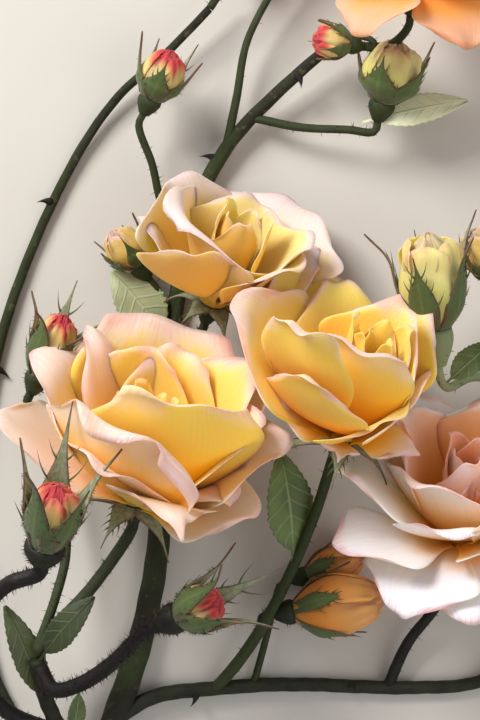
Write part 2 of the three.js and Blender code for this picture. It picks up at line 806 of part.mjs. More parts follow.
function leafSolid(leaf, grow) {
  const heading = new THREE.Vector3(...leaf.heading).normalize();
  const face = new THREE.Vector3(...leaf.face);
  const up = face.clone().addScaledVector(heading, -heading.dot(face)).normalize();
  const frame = {
    seat: new THREE.Vector3(...leaf.foot),
    up,
    side: heading,
    back: new THREE.Vector3().crossVectors(up, heading),
  };
  const blade = {
    form: "leaf",
    long: leaf.long,
    wide: leaf.wide,
    rise: [12, 4, -6, -18],
    cup: 1.6,
    spin: 0,
    round: 0,
    start: 0,
    base: 0,
    thick: LEAF_THICK,
    rows: LEAF_ROWS,
    columns: 2,
  };
  return bladeSolid(frame, blade, grow);
}

// The spray: each solid keeps the joint gap to every solid placed before it

const spray = new THREE.Group();
const placed = [];

function boxesMeet(a, b) {
  return [0, 1, 2].every((i) => a.min[i] < b.max[i] && b.min[i] < a.max[i]);
}

function place(name, look, build) {
  let solid = build(0);
  const box = solid.boundingBox();
  for (const other of placed) {
    if (boxesMeet(box, other.box)) {
      solid = solid.subtract(other.keepOut);
    }
  }
  const keepOut = build(JOINT_GAP);
  placed.push({ keepOut, box: keepOut.boundingBox() });
  const mesh = new THREE.Mesh(geometryOf(mainBody(solid)), new THREE.MeshStandardMaterial(LOOKS[look]));
  mesh.name = name;
  spray.add(mesh);
}

function placeLimb(name, look, route, startRadius, endRadius, sides, prickleCount) {
  place(name, look, (grow) => union([
    limb(route, startRadius, endRadius, sides, STEM_STEP, grow),
    ...prickles(route, startRadius, endRadius, prickleCount, grow),
  ]));
}

placeLimb("cane", "wood", CANE, CANE_CUT_RADIUS, CANE_TIP_RADIUS, 8, 7);
placeLimb("left_stem", "stem", LEFT_STEM, SIDE_RADIUS, SIDE_RADIUS, 6, 2);
placeLimb("right_stem", "stem", RIGHT_STEM, SIDE_RADIUS, SIDE_RADIUS - 0.5, 6, 3);
placeLimb("side_cane", "wood", SIDE_CANE, SIDE_CANE_RADIUS, TWIG_RADIUS, 6, 5);

for (const bloom of BLOOMS) {
  place(`${bloom.name}_calyx`, "calyx", (grow) => calyx(bloom, grow));
}
for (const bud of BUDS) {
  const flower = { ...bud, sepals: closedSepals(bud) };
  place(`${bud.name}_calyx`, "calyx", (grow) => calyx(flower, grow));
  place(bud.name, bud.look, (grow) => closedBud(bud, grow));
}
for (const bloom of BLOOMS) {
  place(bloom.name, bloom.look, (grow) => corolla(bloom, grow));
}
for (const leaf of LEAVES) {
  place(leaf.name, "leaf", (grow) => leafSolid(leaf, grow));
}

// The origin is under the middle of the whole spray, on the surface that it lies on
const reach = new THREE.Box3().setFromObject(spray);
const middle = reach.getCenter(new THREE.Vector3());
spray.position.set(-middle.x, -middle.y, -reach.min.z);

const group = new THREE.Group();
group.add(spray);

export default group;
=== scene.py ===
"""Looks of a cut flowering branch of a bush rose, laid on a pale floor and seen from above.

The branch is laid out in millimetres from the middle of the picture, and every piece stands for
the solids of the frame that it names.
"""
import json
import math
from dataclasses import dataclass, replace

import bpy
import numpy as np
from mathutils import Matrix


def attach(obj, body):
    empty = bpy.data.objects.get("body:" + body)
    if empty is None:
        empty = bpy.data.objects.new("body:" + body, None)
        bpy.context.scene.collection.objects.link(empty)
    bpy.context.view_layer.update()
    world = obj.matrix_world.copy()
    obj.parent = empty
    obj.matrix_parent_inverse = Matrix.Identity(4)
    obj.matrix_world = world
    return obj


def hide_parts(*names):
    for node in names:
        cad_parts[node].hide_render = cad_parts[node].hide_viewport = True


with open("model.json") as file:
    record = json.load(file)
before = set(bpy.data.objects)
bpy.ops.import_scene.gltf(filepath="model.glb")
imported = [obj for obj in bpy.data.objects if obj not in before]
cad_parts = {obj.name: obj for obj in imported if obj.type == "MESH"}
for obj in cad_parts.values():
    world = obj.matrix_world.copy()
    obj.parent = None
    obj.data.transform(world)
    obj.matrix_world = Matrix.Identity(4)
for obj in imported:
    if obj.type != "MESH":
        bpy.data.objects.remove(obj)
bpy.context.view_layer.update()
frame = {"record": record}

bl_info = {
    "name": "Cut rose branch",
    "version": (1, 0, 0),
    "blender": (4, 5, 0),
    "location": "View3D > Sidebar > Rose",
    "description": "Builds the petals, calyxes, stems and leaves of a cut flowering rose branch",
    "category": "Add Mesh",
}

METRES = 0.001

# Middle of the cane's cut end in the layout, and the shift that brings it to the frame's mount
CUT_CENTRE = (-42.0, -131.0, 4.3)
LAYOUT_SHIFT = np.array(frame["record"]["mounts"][0]["pos_m"]) / METRES - np.array(CUT_CENTRE)

# Camera: straight above the branch, at the picture's own viewing angle
CAMERA_HEIGHT = 700.0
PICTURE_HALF_HEIGHT = 108.0

# Rows, columns and sides of the grids of faces, and the spacing of rings along a stem
PETAL_ROWS = 26
PETAL_COLUMNS = 18
SEPAL_ROWS = 34
SEPAL_COLUMNS = 9
LEAF_ROWS = 44
LEAF_COLUMNS = 17
STEM_SIDES = 14
STALK_SIDES = 12
HIP_ROWS = 14
HIP_SIDES = 20
CLAW_ROWS = 10
PRICKLE_SIDES = 8
LOBE_SIDES = 6
SPINE_POINTS = 7
CUT_ROWS = 9
STEM_STEP = 1.5

# Steps in which a blade's midline and its cross-section are added up
MIDLINE_STEPS = 18
SECTION_STEPS = 10
# Added to a blade's distance from its flower's axis, so that it bends less sharply near the axis
AXIS_CLEARANCE = 6.0

# Half a petal's share of its square in the texture map, with its margins, and how far its rim spreads
MAP_SHARE = (0.44, 0.92)
MAP_MARGIN = (0.03, 0.04)
RIM_SPREAD = 1.03

# Profiles: shares of the length and the radius up a bud and a hip, and the height and radius in
# millimetres of the closed ring of petal claws at a corolla's foot
BUD_PROFILE = ((0, 0.34), (0.18, 0.76), (0.42, 1), (0.64, 0.88), (0.87, 0.5), (1, 0.06))
HIP_PROFILE = ((-1, 0.46), (-0.86, 0.58), (-0.5, 0.9), (-0.2, 1), (0, 0.92))
CLAWS = ((0.3, 4.0), (1.5, 4.2), (3.0, 4.4), (5.0, 4.6), (7.0, 4.4), (9.0, 3.0))
# Heights of a bud's shoulder and of its widest ring, as shares of its length
BUD_SHOULDER = 0.18
BUD_WIDEST = 0.42
# How deep a stalk's end lies in its hip, as a share of the hip, and the straight length under it
HIP_SINK = 0.9
NECK_LONG = 4

# Sepals: their lengths by turns, how they sit on a bud, and the thread-like lobes on their edges
SEPAL_SHARES = (1, 0.82, 0.95, 0.74, 0.88)
SEPAL_TURN = 72
SEPAL_STANDOFF = 1.0
SEPAL_BASE = -0.4
SEPAL_FOOT = 0.72
SEPAL_HUG = 1.75
LOBED_EDGES = ((-1, 1), (), (-1,), (-1, 1), ())
LOBE_PLACES = (0.2, 0.34, 0.47, 0.6)
LOBE_LENGTH = 0.17
LOBE_RADIUS = 0.32

# Prickles and bristles, in millimetres. No bristle reaches lower over the floor than LOWEST.
PRICKLE_LONG = 4.2
PRICKLE_RADIUS = 1.35
BRISTLE_RADII = {"stalk": 0.13, "hip": 0.12, "sepal": 0.1}
LOWEST = 0.15

# Turn from one furled petal to the next, in degrees
GOLDEN_ANGLE = 137.5

# Stage: the floor's half side and its drop under the branch in metres, and the light from all round
FLOOR_HALF = 3
FLOOR_DROP = 0.0003
DAYLIGHT = (1.0, 0.98, 0.96)
DAYLIGHT_STRENGTH = 0.4


def linear(code):
    """A colour of the screen, such as "ffcc00", as the linear values that a shader takes."""
    parts = [int(code[i:i + 2], 16) / 255 for i in (0, 2, 4)]
    return tuple(p / 12.92 if p <= 0.04045 else ((p + 0.055) / 1.055) ** 2.4 for p in parts)


def smooth(t):
    """0 below 0, 1 above 1, and smooth between them."""
    t = np.clip(t, 0, 1)
    return t * t * (3 - 2 * t)


def through(knots, values, t):
    """A smooth curve through values at knots, read at t."""
    knots = np.asarray(knots, float)
    values = np.asarray(values, float)
    slopes = np.gradient(values, knots)
    i = np.clip(np.searchsorted(knots, t, side="right") - 1, 0, len(knots) - 2)
    width = knots[i + 1] - knots[i]
    s = (t - knots[i]) / width
    return (
        (1 + 2 * s) * (1 - s) ** 2 * values[i]
        + s * (1 - s) ** 2 * width * slopes[i]
        + s * s * (3 - 2 * s) * values[i + 1]
        + s * s * (s - 1) * width * slopes[i + 1]
    )


# Blades: petals, sepals and leaves. v runs from the foot to the tip, u from edge to edge.

@dataclass(frozen=True)
class Blade:
    """A petal, sepal or leaf in its flower's frame. Lengths in mm, angles in degrees.

    rise gives the slope of the midline at four places from foot to tip. A path of points, each the
    distance from the axis and the height at its share of the length in knots, takes its place.
    """
    turn: float
    long: float
    wide: float
    rise: tuple = ()
    cup: float = 0.0
    curl: float = 0.0
    curl_part: float = 0.25
    roll_left: float = 0.0
    roll_right: float = 0.0
    roll_part: float = 0.3
    spin: float = 0.0
    round: float = 0.0
    corner: float = 0.0
    point: float = 0.0
    ruffle: float = 0.1
    lip: float = 0.0
    start: float = 3.0
    base: float = 0.8
    blush: float = 0.3
    path: tuple = ()
    knots: tuple = ()


def petal_half(v):
    """Narrow at the foot, broad past the middle, and a little narrower at the tip."""
    return (0.26 + 0.74 * smooth(v / 0.62)) * (1 - 0.3 * smooth((v - 0.62) / 0.38))


def sepal_half(v):
    """Broad and clasping at the foot, then drawn out to a fine tip."""
    return (0.62 + 0.5 * smooth(v / 0.2)) * np.exp(-((v / 0.47) ** 2.4)) + 0.09 * (1 - v) + 0.02


def leaf_half(v):
    """A thin stalk, then a blade with toothed edges."""
    body = np.clip((v - 0.14) / 0.87, 0, 1)
    saw = (v * 15) % 1
    plain = np.sin(math.pi * body ** 0.8) ** 0.85 * (0.93 + 0.14 * saw)
    return np.where(v < 0.15, 0.1, plain + 0.04)


def heading_at(blade, v):
    """Slope of the midline in radians, with the curl of the tip and the lip of the very edge."""
    rise = np.interp(np.clip(v, 0, 1) * 3, (0, 1, 2, 3), blade.rise)
    curl = blade.curl * smooth((v - (1 - blade.curl_part)) / blade.curl_part)
    lip = blade.lip * smooth((v - 0.93) / 0.07)
    return np.radians(rise - curl - lip)


def midline(blade, end):
    """Distance from the axis, height and heading of the midline at a share of its length."""
    if blade.path:
        nudge = 0.01
        out, up = (through(blade.knots, side, end) for side in zip(*blade.path))
        back = np.maximum(end - nudge, 0)
        ahead = np.minimum(end + nudge, 1)
        rate = [through(blade.knots, s, ahead) - through(blade.knots, s, back) for s in zip(*blade.path)]
        return out, up, np.arctan2(rate[1], rate[0])
    steps = (np.arange(MIDLINE_STEPS) + 0.5) / MIDLINE_STEPS
    headings = heading_at(blade, end[..., None] * steps)
    stride = blade.long * end / MIDLINE_STEPS
    out = blade.start + np.cos(headings).sum(-1) * stride
    up = blade.base + np.sin(headings).sum(-1) * stride
    return out, up, heading_at(blade, end)


def blade_points(blade, half_width, u, v, lift):
    """Points of a blade moved by lift along its inner normal, in its flower's frame."""
    end = v * (1 - blade.round * np.abs(u) ** 2.2 + blade.point * np.exp(-((u / 0.16) ** 2)))
    end = np.clip(end, 0, 1 + abs(blade.point))
    out, up, heading = midline(blade, end)
    half = half_width(np.clip(end, 0, 1)) * blade.wide / 2
    half = half * (1 - blade.corner * smooth((v - 0.62) / 0.38) ** 2)
    bend = blade.cup * np.maximum(np.sin(heading), 0.25) / (np.abs(out) + AXIS_CLEARANCE)
    roll = np.radians(np.where(u < 0, blade.roll_left, blade.roll_right)) * smooth(v / 0.8)
    t = np.abs(u)[..., None] * (np.arange(SECTION_STEPS) + 0.5) / SECTION_STEPS
    curled = smooth((t - (1 - blade.roll_part)) / blade.roll_part)
    slope = (bend * half)[..., None] * t - roll[..., None] * curled
    stride = half * np.abs(u) / SECTION_STEPS
    last = slope[..., -1]
    across = np.sign(u) * (np.cos(slope).sum(-1) * stride - np.sin(last) * lift)
    inward = np.sin(slope).sum(-1) * stride + np.cos(last) * lift
    inward = inward + blade.ruffle * v ** 4 * np.sin(5.5 * u + blade.turn)
    spin = math.radians(blade.spin)
    sideways = across * math.cos(spin) - inward * math.sin(spin)
    towards = across * math.sin(spin) + inward * math.cos(spin)
    radial = out - np.sin(heading) * towards
    height = up + np.cos(heading) * towards
    turn = math.radians(blade.turn)
    return np.stack([
        radial * math.cos(turn) - sideways * math.sin(turn),
        radial * math.sin(turn) + sideways * math.cos(turn),
        height,
    ], -1)


# Frames and curves

def unit(vector):
    vector = np.asarray(vector, float)
    return vector / np.linalg.norm(vector, axis=-1, keepdims=True)


def around(angle, first, second):
    """Directions at angles from first towards second."""
    return np.cos(angle)[..., None] * first + np.sin(angle)[..., None] * second


class FlowerFrame:
    """A seat and three directions: Z along the flower's axis, X near the branch's X."""

    def __init__(self, seat, axis, lead=(1, 0, 0)):
        self.seat = np.array(seat, float)
        self.up = unit(axis)
        lead = np.array(lead, float)
        self.side = unit(lead - self.up * lead.dot(self.up))
        self.back = np.cross(self.up, self.side)

    def place(self, points):
        return self.seat + points @ np.stack([self.side, self.back, self.up])


def spline(route, spacing):
    """Points evenly spaced along the centripetal curve through a route."""
    route = np.array(route, float)
    ends = np.vstack([2 * route[0] - route[1], route, 2 * route[-1] - route[-2]])
    fine = []
    for before, first, last, after in zip(ends, ends[1:], ends[2:], ends[3:]):
        spans = (first - before, last - first, after - last)
        d0, d1, d2 = (np.linalg.norm(span) ** 0.5 for span in spans)
        leave = ((first - before) / d0 - (last - before) / (d0 + d1) + (last - first) / d1) * d1
        arrive = ((last - first) / d1 - (after - first) / (d1 + d2) + (after - last) / d2) * d1
        t = np.linspace(0, 1, 40, endpoint=False)[:, None]
        fine.append(
            (2 * t ** 3 - 3 * t ** 2 + 1) * first + (t ** 3 - 2 * t ** 2 + t) * leave
            + (3 * t ** 2 - 2 * t ** 3) * last + (t ** 3 - t ** 2) * arrive
        )
    fine = np.vstack([*fine, route[-1:]])
    along = np.concatenate([[0], np.cumsum(np.linalg.norm(np.diff(fine, axis=0), axis=1))])
    count = max(4, int(along[-1] / spacing)) + 1
    stops = np.linspace(0, along[-1], count)
    return np.stack([np.interp(stops, along, fine[:, i]) for i in range(3)], -1)


def carried_frames(points):
    """Tangent, normal and binormal at each point of a curve, carried along without twist."""
    tangents = unit(np.gradient(points, axis=0))
    normal = np.cross(tangents[0], (0, 0, 1))
    if np.linalg.norm(normal) < 0.1:
        normal = np.cross(tangents[0], (1, 0, 0))
    normals = []
    for tangent in tangents:
        normal = unit(normal - tangent * np.dot(normal, tangent))
        normals.append(normal)
    normals = np.array(normals)
    return tangents, normals, np.cross(tangents, normals)


# Mesh data

class Sheaf:
    """Mesh data gathered for one piece, in layout millimetres."""

    FIELDS = ("across", "along", "blush", "inner_face")

    def __init__(self, cells=0):
        self.points = []
        self.faces = []
        self.slots = []
        self.corners = []
        self.fields = {name: [] for name in self.FIELDS}
        self.count = 0
        self.cells = cells
        self.cells_used = 0

    def add(self, points, faces, slot=0, corners=None, **fields):
        """Adds points of shape (n, 3), faces of shape (m, sides) and values for the points."""
        points = points.reshape(-1, 3)
        self.points.append(points)
        self.faces.append(np.asarray(faces) + self.count)
        self.slots.append(np.full(len(faces), slot))
        if corners is not None:
            self.corners.append(corners)
        for name in self.FIELDS:
            value = np.asarray(fields.get(name, 0.0), float).ravel()
            self.fields[name].append(np.broadcast_to(value, len(points)))
        self.count += len(points)

    def next_cell(self):
        """Lower corner and side of the next square of the texture map."""
        across = math.ceil(math.sqrt(self.cells))
        side = 1 / across
        cell = (self.cells_used % across * side, self.cells_used // across * side, side)
        self.cells_used += 1
        return cell

    def to_object(self, name, materials):
        """A smooth mesh object in the frame's metres, with its values as attributes."""
        mesh = bpy.data.meshes.new(name)
        points = (np.vstack(self.points) + LAYOUT_SHIFT) * METRES
        faces = [face for block in self.faces for face in block.tolist()]
        mesh.from_pydata(points.tolist(), [], faces)
        for material in materials:
            mesh.materials.append(material)
        mesh.polygons.foreach_set("material_index", np.concatenate(self.slots))
        mesh.polygons.foreach_set("use_smooth", np.ones(len(faces), bool))
        for field_name, values in self.fields.items():
            attribute = mesh.attributes.new(field_name, "FLOAT", "POINT")
            attribute.data.foreach_set("value", np.concatenate(values))
        if self.corners:
            layer = mesh.uv_layers.new(name="OFBake")
            layer.data.foreach_set("uv", np.concatenate([c.ravel() for c in self.corners]))
        mesh.update()
        piece = bpy.data.objects.new(name, mesh)
        bpy.context.scene.collection.objects.link(piece)
        return piece


def grid_faces(rows, columns, closed=False):
    """Quads over a grid of points, joined round from the last column to the first if closed."""
    i, j = np.meshgrid(np.arange(rows - 1), np.arange(columns if closed else columns - 1), indexing="ij")
    here = i * columns + j
    right = i * columns + (j + 1) % columns
    return np.stack([here, right, right + columns, here + columns], -1).reshape(-1, 4)


def border_of(rows, columns):
    """Points round the edge of a grid, in order."""
    grid = np.arange(rows * columns).reshape(rows, columns)
    return np.concatenate([grid[0, :-1], grid[:-1, -1], grid[-1, :0:-1], grid[:0:-1, 0]])


def add_shell(sheaf, surface, rows, columns, thick, slot=0, blush=0.0, mapped=False):
    """A thin closed shell. surface(u, v, lift) gives the points of one of its two faces."""
    v, u = np.meshgrid(np.linspace(0, 1, rows), np.linspace(-1, 1, columns), indexing="ij")
    edge = np.maximum(np.abs(u), 2 * np.abs(v - 0.5)) ** 8
    lift = 0.5 * thick * (1 - 0.6 * edge)
    inner = surface(u, v, lift)
    outer = surface(u, v, -lift)
    quads = grid_faces(rows, columns)
    border = border_of(rows, columns)
    after = np.roll(border, -1)
    offset = rows * columns
    rim = np.stack([border, after, after + offset, border + offset], -1)
    faces = np.concatenate([quads[:, ::-1], quads + offset, rim])
    corners = None
    if mapped:
        left, low, side = sheaf.next_cell()
        flat = np.stack([(u.ravel() + 1) / 2, v.ravel()], -1) * MAP_SHARE + MAP_MARGIN
        middle = np.array((0.25, 0.5))
        beyond = middle + (flat - middle) * RIM_SPREAD
        half = np.array((0.5, 0))
        rim_map = np.stack([flat[border], flat[after], beyond[after], beyond[border]], 1)
        corners = np.concatenate([flat[quads[:, ::-1]], flat[quads] + half, rim_map])
        corners = corners * side + (left, low)
    sheaf.add(
        np.concatenate([inner.reshape(-1, 3), outer.reshape(-1, 3)]), faces, slot, corners,
        across=np.tile(u.ravel(), 2), along=np.tile(v.ravel(), 2), blush=blush,
        inner_face=np.repeat((1.0, 0.0), offset),
    )


def add_blade(sheaf, flower_frame, blade, half_width, rows, columns, thick, **choices):
    """A blade as a thin shell. half_width(v) is half its width as a share."""
    def surface(u, v, lift):
        return flower_frame.place(blade_points(blade, half_width, u, v, lift))
    add_shell(sheaf, surface, rows, columns, thick, blush=blade.blush, **choices)


def add_tube(sheaf, points, radii, sides, slot=0, relief=None, **fields):
    """A tube with closed ends. relief(angle, along) is its height in shares of the radius."""
    _, normals, binormals = carried_frames(points)
    angle = np.linspace(0, 2 * math.pi, sides, endpoint=False)
    along = np.linspace(0, 1, len(points))
    shares = 1 + (relief(angle[None], along[:, None]) if relief else 0) * np.ones((len(points), sides))
    reach = shares * np.asarray(radii, float)[:, None]
    ring = around(angle[None], normals[:, None], binormals[:, None])
    grid = points[:, None] + reach[..., None] * ring
    body = np.concatenate([points[:1, None].repeat(sides, 1), grid, points[-1:, None].repeat(sides, 1)])
    sheaf.add(
        body, grid_faces(len(body), sides, closed=True), slot,
        across=np.broadcast_to(np.cos(angle), body.shape[:2]),
        along=np.repeat(np.concatenate([[0], along, [1]]), sides), **fields,
    )


def add_spikes(sheaf, feet, directions, lengths, radius, blush):
    """Fine bristles: three-sided cones that stand on feet along directions."""
    directions = unit(directions)
    lead = unit(np.cross(directions, (0.31, 0.57, 0.76)))
    angle = np.array((0, 2.1, 4.2))
    base = feet + around(angle[:, None], lead, np.cross(directions, lead)) * radius
    tip = feet + directions * lengths[:, None]
    tip[:, 2] = np.maximum(tip[:, 2], LOWEST)
    points = np.concatenate([base, tip[None]]).transpose(1, 0, 2)
    first = np.arange(len(feet))[:, None, None] * 4
    faces = (first + np.array(((0, 1, 3), (1, 2, 3), (2, 0, 3)))).reshape(-1, 3)
    sheaf.add(points, faces, blush=blush)


# Materials: expressions on sockets

def arithmetic(operation):
    """A method that adds a Math node, and its reflected form."""
    def forward(field, other):
        return field.math(operation, field, other)

    def reflected(field, other):
        return field.math(operation, other, field)
    return forward, reflected


class Field:
    """A node socket that takes part in arithmetic. An expression adds the Math nodes it needs."""

    def __init__(self, finish, socket):
        self.finish = finish
        self.socket = socket

    def math(self, operation, *values):
        return self.finish.node("ShaderNodeMath", {"operation": operation}, dict(enumerate(values)))

    __add__, __radd__ = arithmetic("ADD")
    __sub__, __rsub__ = arithmetic("SUBTRACT")
    __mul__, __rmul__ = arithmetic("MULTIPLY")
    __pow__, __rpow__ = arithmetic("POWER")

    def __abs__(self):
        return self.math("ABSOLUTE", self)


class Finish:
    """One material and the nodes that work out its looks."""

    def __init__(self, name):
        self.material = bpy.data.materials.new(name)
        self.material.use_nodes = True
        self.tree = self.material.node_tree
        self.tree.nodes.clear()

    def node(self, kind, settings=None, sockets=None, output=0):
        """Adds a node with its settings and then its sockets, and gives one of its outputs, if any."""
        node = self.tree.nodes.new(kind)
        for name, value in (settings or {}).items():
            setattr(node, name, value)
        for key, value in (sockets or {}).items():
            if isinstance(value, Field):
                self.tree.links.new(value.socket, node.inputs[key])
            else:
                node.inputs[key].default_value = value
        return Field(self, node.outputs[output]) if node.outputs else None

    def field(self, name):
        """A value that the mesh carries at its points, one of Sheaf.FIELDS."""
        return self.node("ShaderNodeAttribute", {"attribute_name": name}, output="Fac")

    def ease(self, value, low, high):
        """0 below low, 1 above high, and smooth between them."""
        settings = {"interpolation_type": "SMOOTHSTEP"}
        return self.node("ShaderNodeMapRange", settings, {0: value, 1: low, 2: high})

    def grain(self, x, y=0.0, z=0.0, detail=3.0):
        """Noise that follows the values given, so that it can be drawn out along a piece."""
        return self.noise(1.0, self.node("ShaderNodeCombineXYZ", sockets={0: x, 1: y, 2: z}), detail)

    def noise(self, scale, vector=None, detail=3.0):
        """Noise between 0 and 1, by default at the place on the object in metres."""
        place = vector or self.node("ShaderNodeTexCoord", output="Object")
        sockets = {"Vector": place, "Scale": scale, "Detail": detail}
        return self.node("ShaderNodeTexNoise", sockets=sockets)

    def mix(self, amount, first, second):
        """Colour first where amount is 0, and second where it is 1."""
        first, second = (c if isinstance(c, Field) else (*c, 1.0) for c in (first, second))
        sockets = {0: amount, 6: first, 7: second}
        return self.node("ShaderNodeMix", {"data_type": "RGBA"}, sockets, output=2)

    def coats(self, base, *layers):
        """Lays colours over a base one by one, each as far as its mask says."""
        for mask, colour in layers:
            base = self.mix(mask, base, colour)
        return base

    def bump(self, height, strength, distance):
        sockets = {"Height": height, "Strength": strength, "Distance": distance}
        return self.node("ShaderNodeBump", sockets=sockets)

    def surface(self, **sockets):
        """Ends the material in one Principled shader. Underscores stand for spaces."""
        sockets = {name.replace("_", " "): value for name, value in sockets.items()}
        shader = self.node("ShaderNodeBsdfPrincipled", sockets=sockets)
        self.node("ShaderNodeOutputMaterial", sockets={"Surface": shader})
        return self.material


def petal_finish(name, palette, vein_depth):
    """Silky petal: a deep foot, a lighter middle, a blushed rim and a paler back with fine veins."""
    finish = Finish(name)
    across, along, blush, inner = map(finish.field, Sheaf.FIELDS)
    veins = finish.grain(across * 30.0, along * 2.4, blush * 37.0, detail=2.0)
    cloud = finish.noise(110.0, detail=2.0)
    reach = along + 0.1 * abs(across) ** 3.0 + 0.16 * (veins - 0.5) + 0.3 * (cloud - 0.5)
    rim = finish.ease(reach, 1.04 - 0.66 * blush, 1.16 - 0.36 * blush)
    edge = finish.ease(reach, 0.9, 1.08) * finish.ease(cloud + 0.3 * blush, 0.42, 0.62)
    body = finish.mix(finish.ease(along, 0.2, 0.9), palette.foot, palette.middle)
    face = finish.mix(rim, body, palette.rim)
    outside = finish.coats(
        palette.foot, (finish.ease(along, 0.2, 0.95), palette.back),
        (rim * palette.back_blush, palette.rim),
    )
    shown = finish.coats(
        outside, (inner, face), (edge * 0.75, palette.edge),
        (0.14 * finish.ease(veins, 0.35, 0.75), palette.foot),
    )
    return finish.surface(
        Base_Color=shown,
        Roughness=0.52 + 0.18 * veins,
        Normal=finish.bump(veins, 0.35, vein_depth),
        Subsurface_Weight=0.6,
        Subsurface_Radius=(1.0, 0.8, 0.3),
        Subsurface_Scale=0.003,
        Specular_IOR_Level=0.3,
        Sheen_Weight=0.12,
    )


def stalk_finish(name, colours):
    """Young stem: green to purple, mottled, with a faint lengthwise grain."""
    finish = Finish(name)
    across, along, blush = map(finish.field, ("across", "along", "blush"))
    mottle = finish.noise(260.0, detail=4.0)
    grain = finish.grain(across * 9.0, along * 40.0)
    sunned = finish.ease(blush + 0.5 * (mottle - 0.5), 0.1, 0.9)
    shown = finish.coats(
        colours.stem, (finish.ease(0.0 - blush, 0.0, 1.0), colours.leaf_back),
        (sunned, colours.stem_purple_and_leaf_shade), (0.12 * finish.ease(grain, 0.4, 0.8), colours.bark_light),
    )
    return finish.surface(
        Base_Color=shown,
        Roughness=0.5 + 0.25 * mottle,
        Normal=finish.bump(grain, 0.5, 0.0004),
        Specular_IOR_Level=0.3,
    )


def bark_finish(name, colours):
    """Older cane: dark green-brown bark with pale flecks and cracks along it."""
    finish = Finish(name)
    flecks = finish.noise(420.0, detail=5.0)
    patch = finish.noise(45.0, detail=3.0)
    grain = finish.grain(finish.field("across") * 7.0, finish.field("along") * 90.0, 2.0, detail=5.0)
    shown = finish.coats(
        colours.bark, (finish.ease(patch, 0.35, 0.65), colours.stem),
        (0.6 * finish.ease(grain, 0.5, 0.75), colours.bark_dark),
        (0.55 * finish.ease(flecks, 0.58, 0.72), colours.bark_light),
    )
    return finish.surface(
        Base_Color=shown,
        Roughness=0.68 + 0.22 * flecks,
        Normal=finish.bump(grain + 0.6 * flecks, 0.7, 0.0006),
        Specular_IOR_Level=0.3,
    )


def sepal_finish(name, colours):
    """Sepals: green outside with a woolly grey bloom inside, and dark red edges and tips."""
    finish = Finish(name)
    across, along, inner = map(finish.field, ("across", "along", "inner_face"))
    wool = finish.noise(700.0, detail=5.0)
    rib = 1.0 - finish.ease(abs(across), 0.0, 0.16)
    patch = finish.noise(160.0, detail=3.0)
    edge = finish.ease(abs(across) + 0.5 * (patch - 0.5), 0.7, 1.0) * 0.75
    tip = finish.ease(along + 0.5 * (patch - 0.5), 0.72, 1.05)
    outside = finish.mix(0.6 * wool, colours.sepal, colours.sepal_light)
    inside = finish.mix(wool, colours.sepal, colours.wool)
    shown = finish.coats(
        outside, (inner, inside), (0.45 * rib, colours.sepal_light), (edge, colours.sepal_red),
        (0.6 * tip, colours.sepal_red),
    )
    return finish.surface(
        Base_Color=shown,
        Roughness=0.6 + 0.2 * wool,
        Normal=finish.bump(wool, 0.6, 0.0003),
        Subsurface_Weight=0.12,
        Subsurface_Scale=0.002,
        Sheen_Weight=0.15,
    )


def leaf_finish(name, colours):
    """Leaf: satin green with a pale midrib and side veins, matt and paler below."""
    finish = Finish(name)
    across, along, blush, inner = map(finish.field, Sheaf.FIELDS)
    patch = finish.noise(90.0, detail=4.0)
    slant = (along + 0.16 * abs(across)) * 44.0
    veins = finish.ease(slant.math("SINE", slant), 0.72, 1.0) * 0.5
    rib = 1.0 - finish.ease(abs(across), 0.02, 0.1)
    upper = finish.mix(finish.ease(patch, 0.3, 0.7), colours.leaf, colours.leaf_light)
    bleached = finish.ease(blush + 0.4 * (patch - 0.5), 0.3, 1.0)
    shown = finish.coats(
        colours.leaf_back, (inner, upper), (0.7 * rib, colours.leaf_back),
        (veins * 0.7, colours.leaf_back), (bleached, colours.leaf_pale),
        # Painted shade: a leaf with a negative pale value is darkened towards the near-black stem purple.
        (finish.ease(0.0 - blush, 0.0, 1.0), colours.stem_purple_and_leaf_shade),
    )
    return finish.surface(
        Base_Color=shown,
        Roughness=0.42 + 0.2 * patch,
        Normal=finish.bump(veins + rib, 0.6, 0.0004),
        Subsurface_Weight=0.15,
        Subsurface_Scale=0.002,
    )


def wood_finish(name, colours):
    """Freshly cut wood: a pale ring round a soft pith, green under the bark."""
    finish = Finish(name)
    out = finish.field("along")
    rings = finish.grain(out * 16.0, detail=2.0)
    fibres = finish.noise(900.0, detail=4.0)
    shown = finish.coats(
        colours.pith, (finish.ease(out, 0.18, 0.3), colours.cut_wood), (0.35 * rings, colours.bark_light),
        (finish.ease(out, 0.82, 0.95), colours.stem),
    )
    return finish.surface(
        Base_Color=shown,
        Roughness=0.6 + 0.3 * fibres,
        Normal=finish.bump(fibres, 0.5, 0.0002),
    )


def floor_finish(name, tone):
    """Plain pale matt floor with a barely uneven tone."""
    finish = Finish(name)
    mottle = finish.noise(6.0, detail=2.0)
    shade = tuple(0.93 * part for part in tone)
    return finish.surface(Base_Color=finish.mix(mottle, shade, tone), Roughness=0.9)


# The branch: blooms, buds, stems and leaves, with the same sizes as the frame's solids

# What every petal has, and what each whorl has besides or instead
PETAL = {"spin": 9, "round": 0.22, "corner": 0.3, "ruffle": 0.9, "lip": 30}
WHORLS = {
    "heart": {"cup": 1.15, "spin": 14, "ruffle": 0.7, "lip": 45, "blush": 0.12},
    "inner": {"cup": 0.85, "start": 3, "base": 4, "blush": 0.2},
    "cup": {"cup": 0.7, "curl": 50, "start": 3.4, "base": 2.6, "blush": 0.35},
    "outer": {"cup": 0.4, "curl": 50, "start": 3.8, "base": 1.6, "blush": 0.55},
    "guard": {"cup": 0.3, "start": 4, "base": 1, "blush": 0.85},
}


def petal(whorl, turn, long, wide, rise, **choices):
    """A petal like the others of its whorl, apart from the choices."""
    return Blade(turn, long, wide, rise, **{**PETAL, **WHORLS[whorl], **choices})


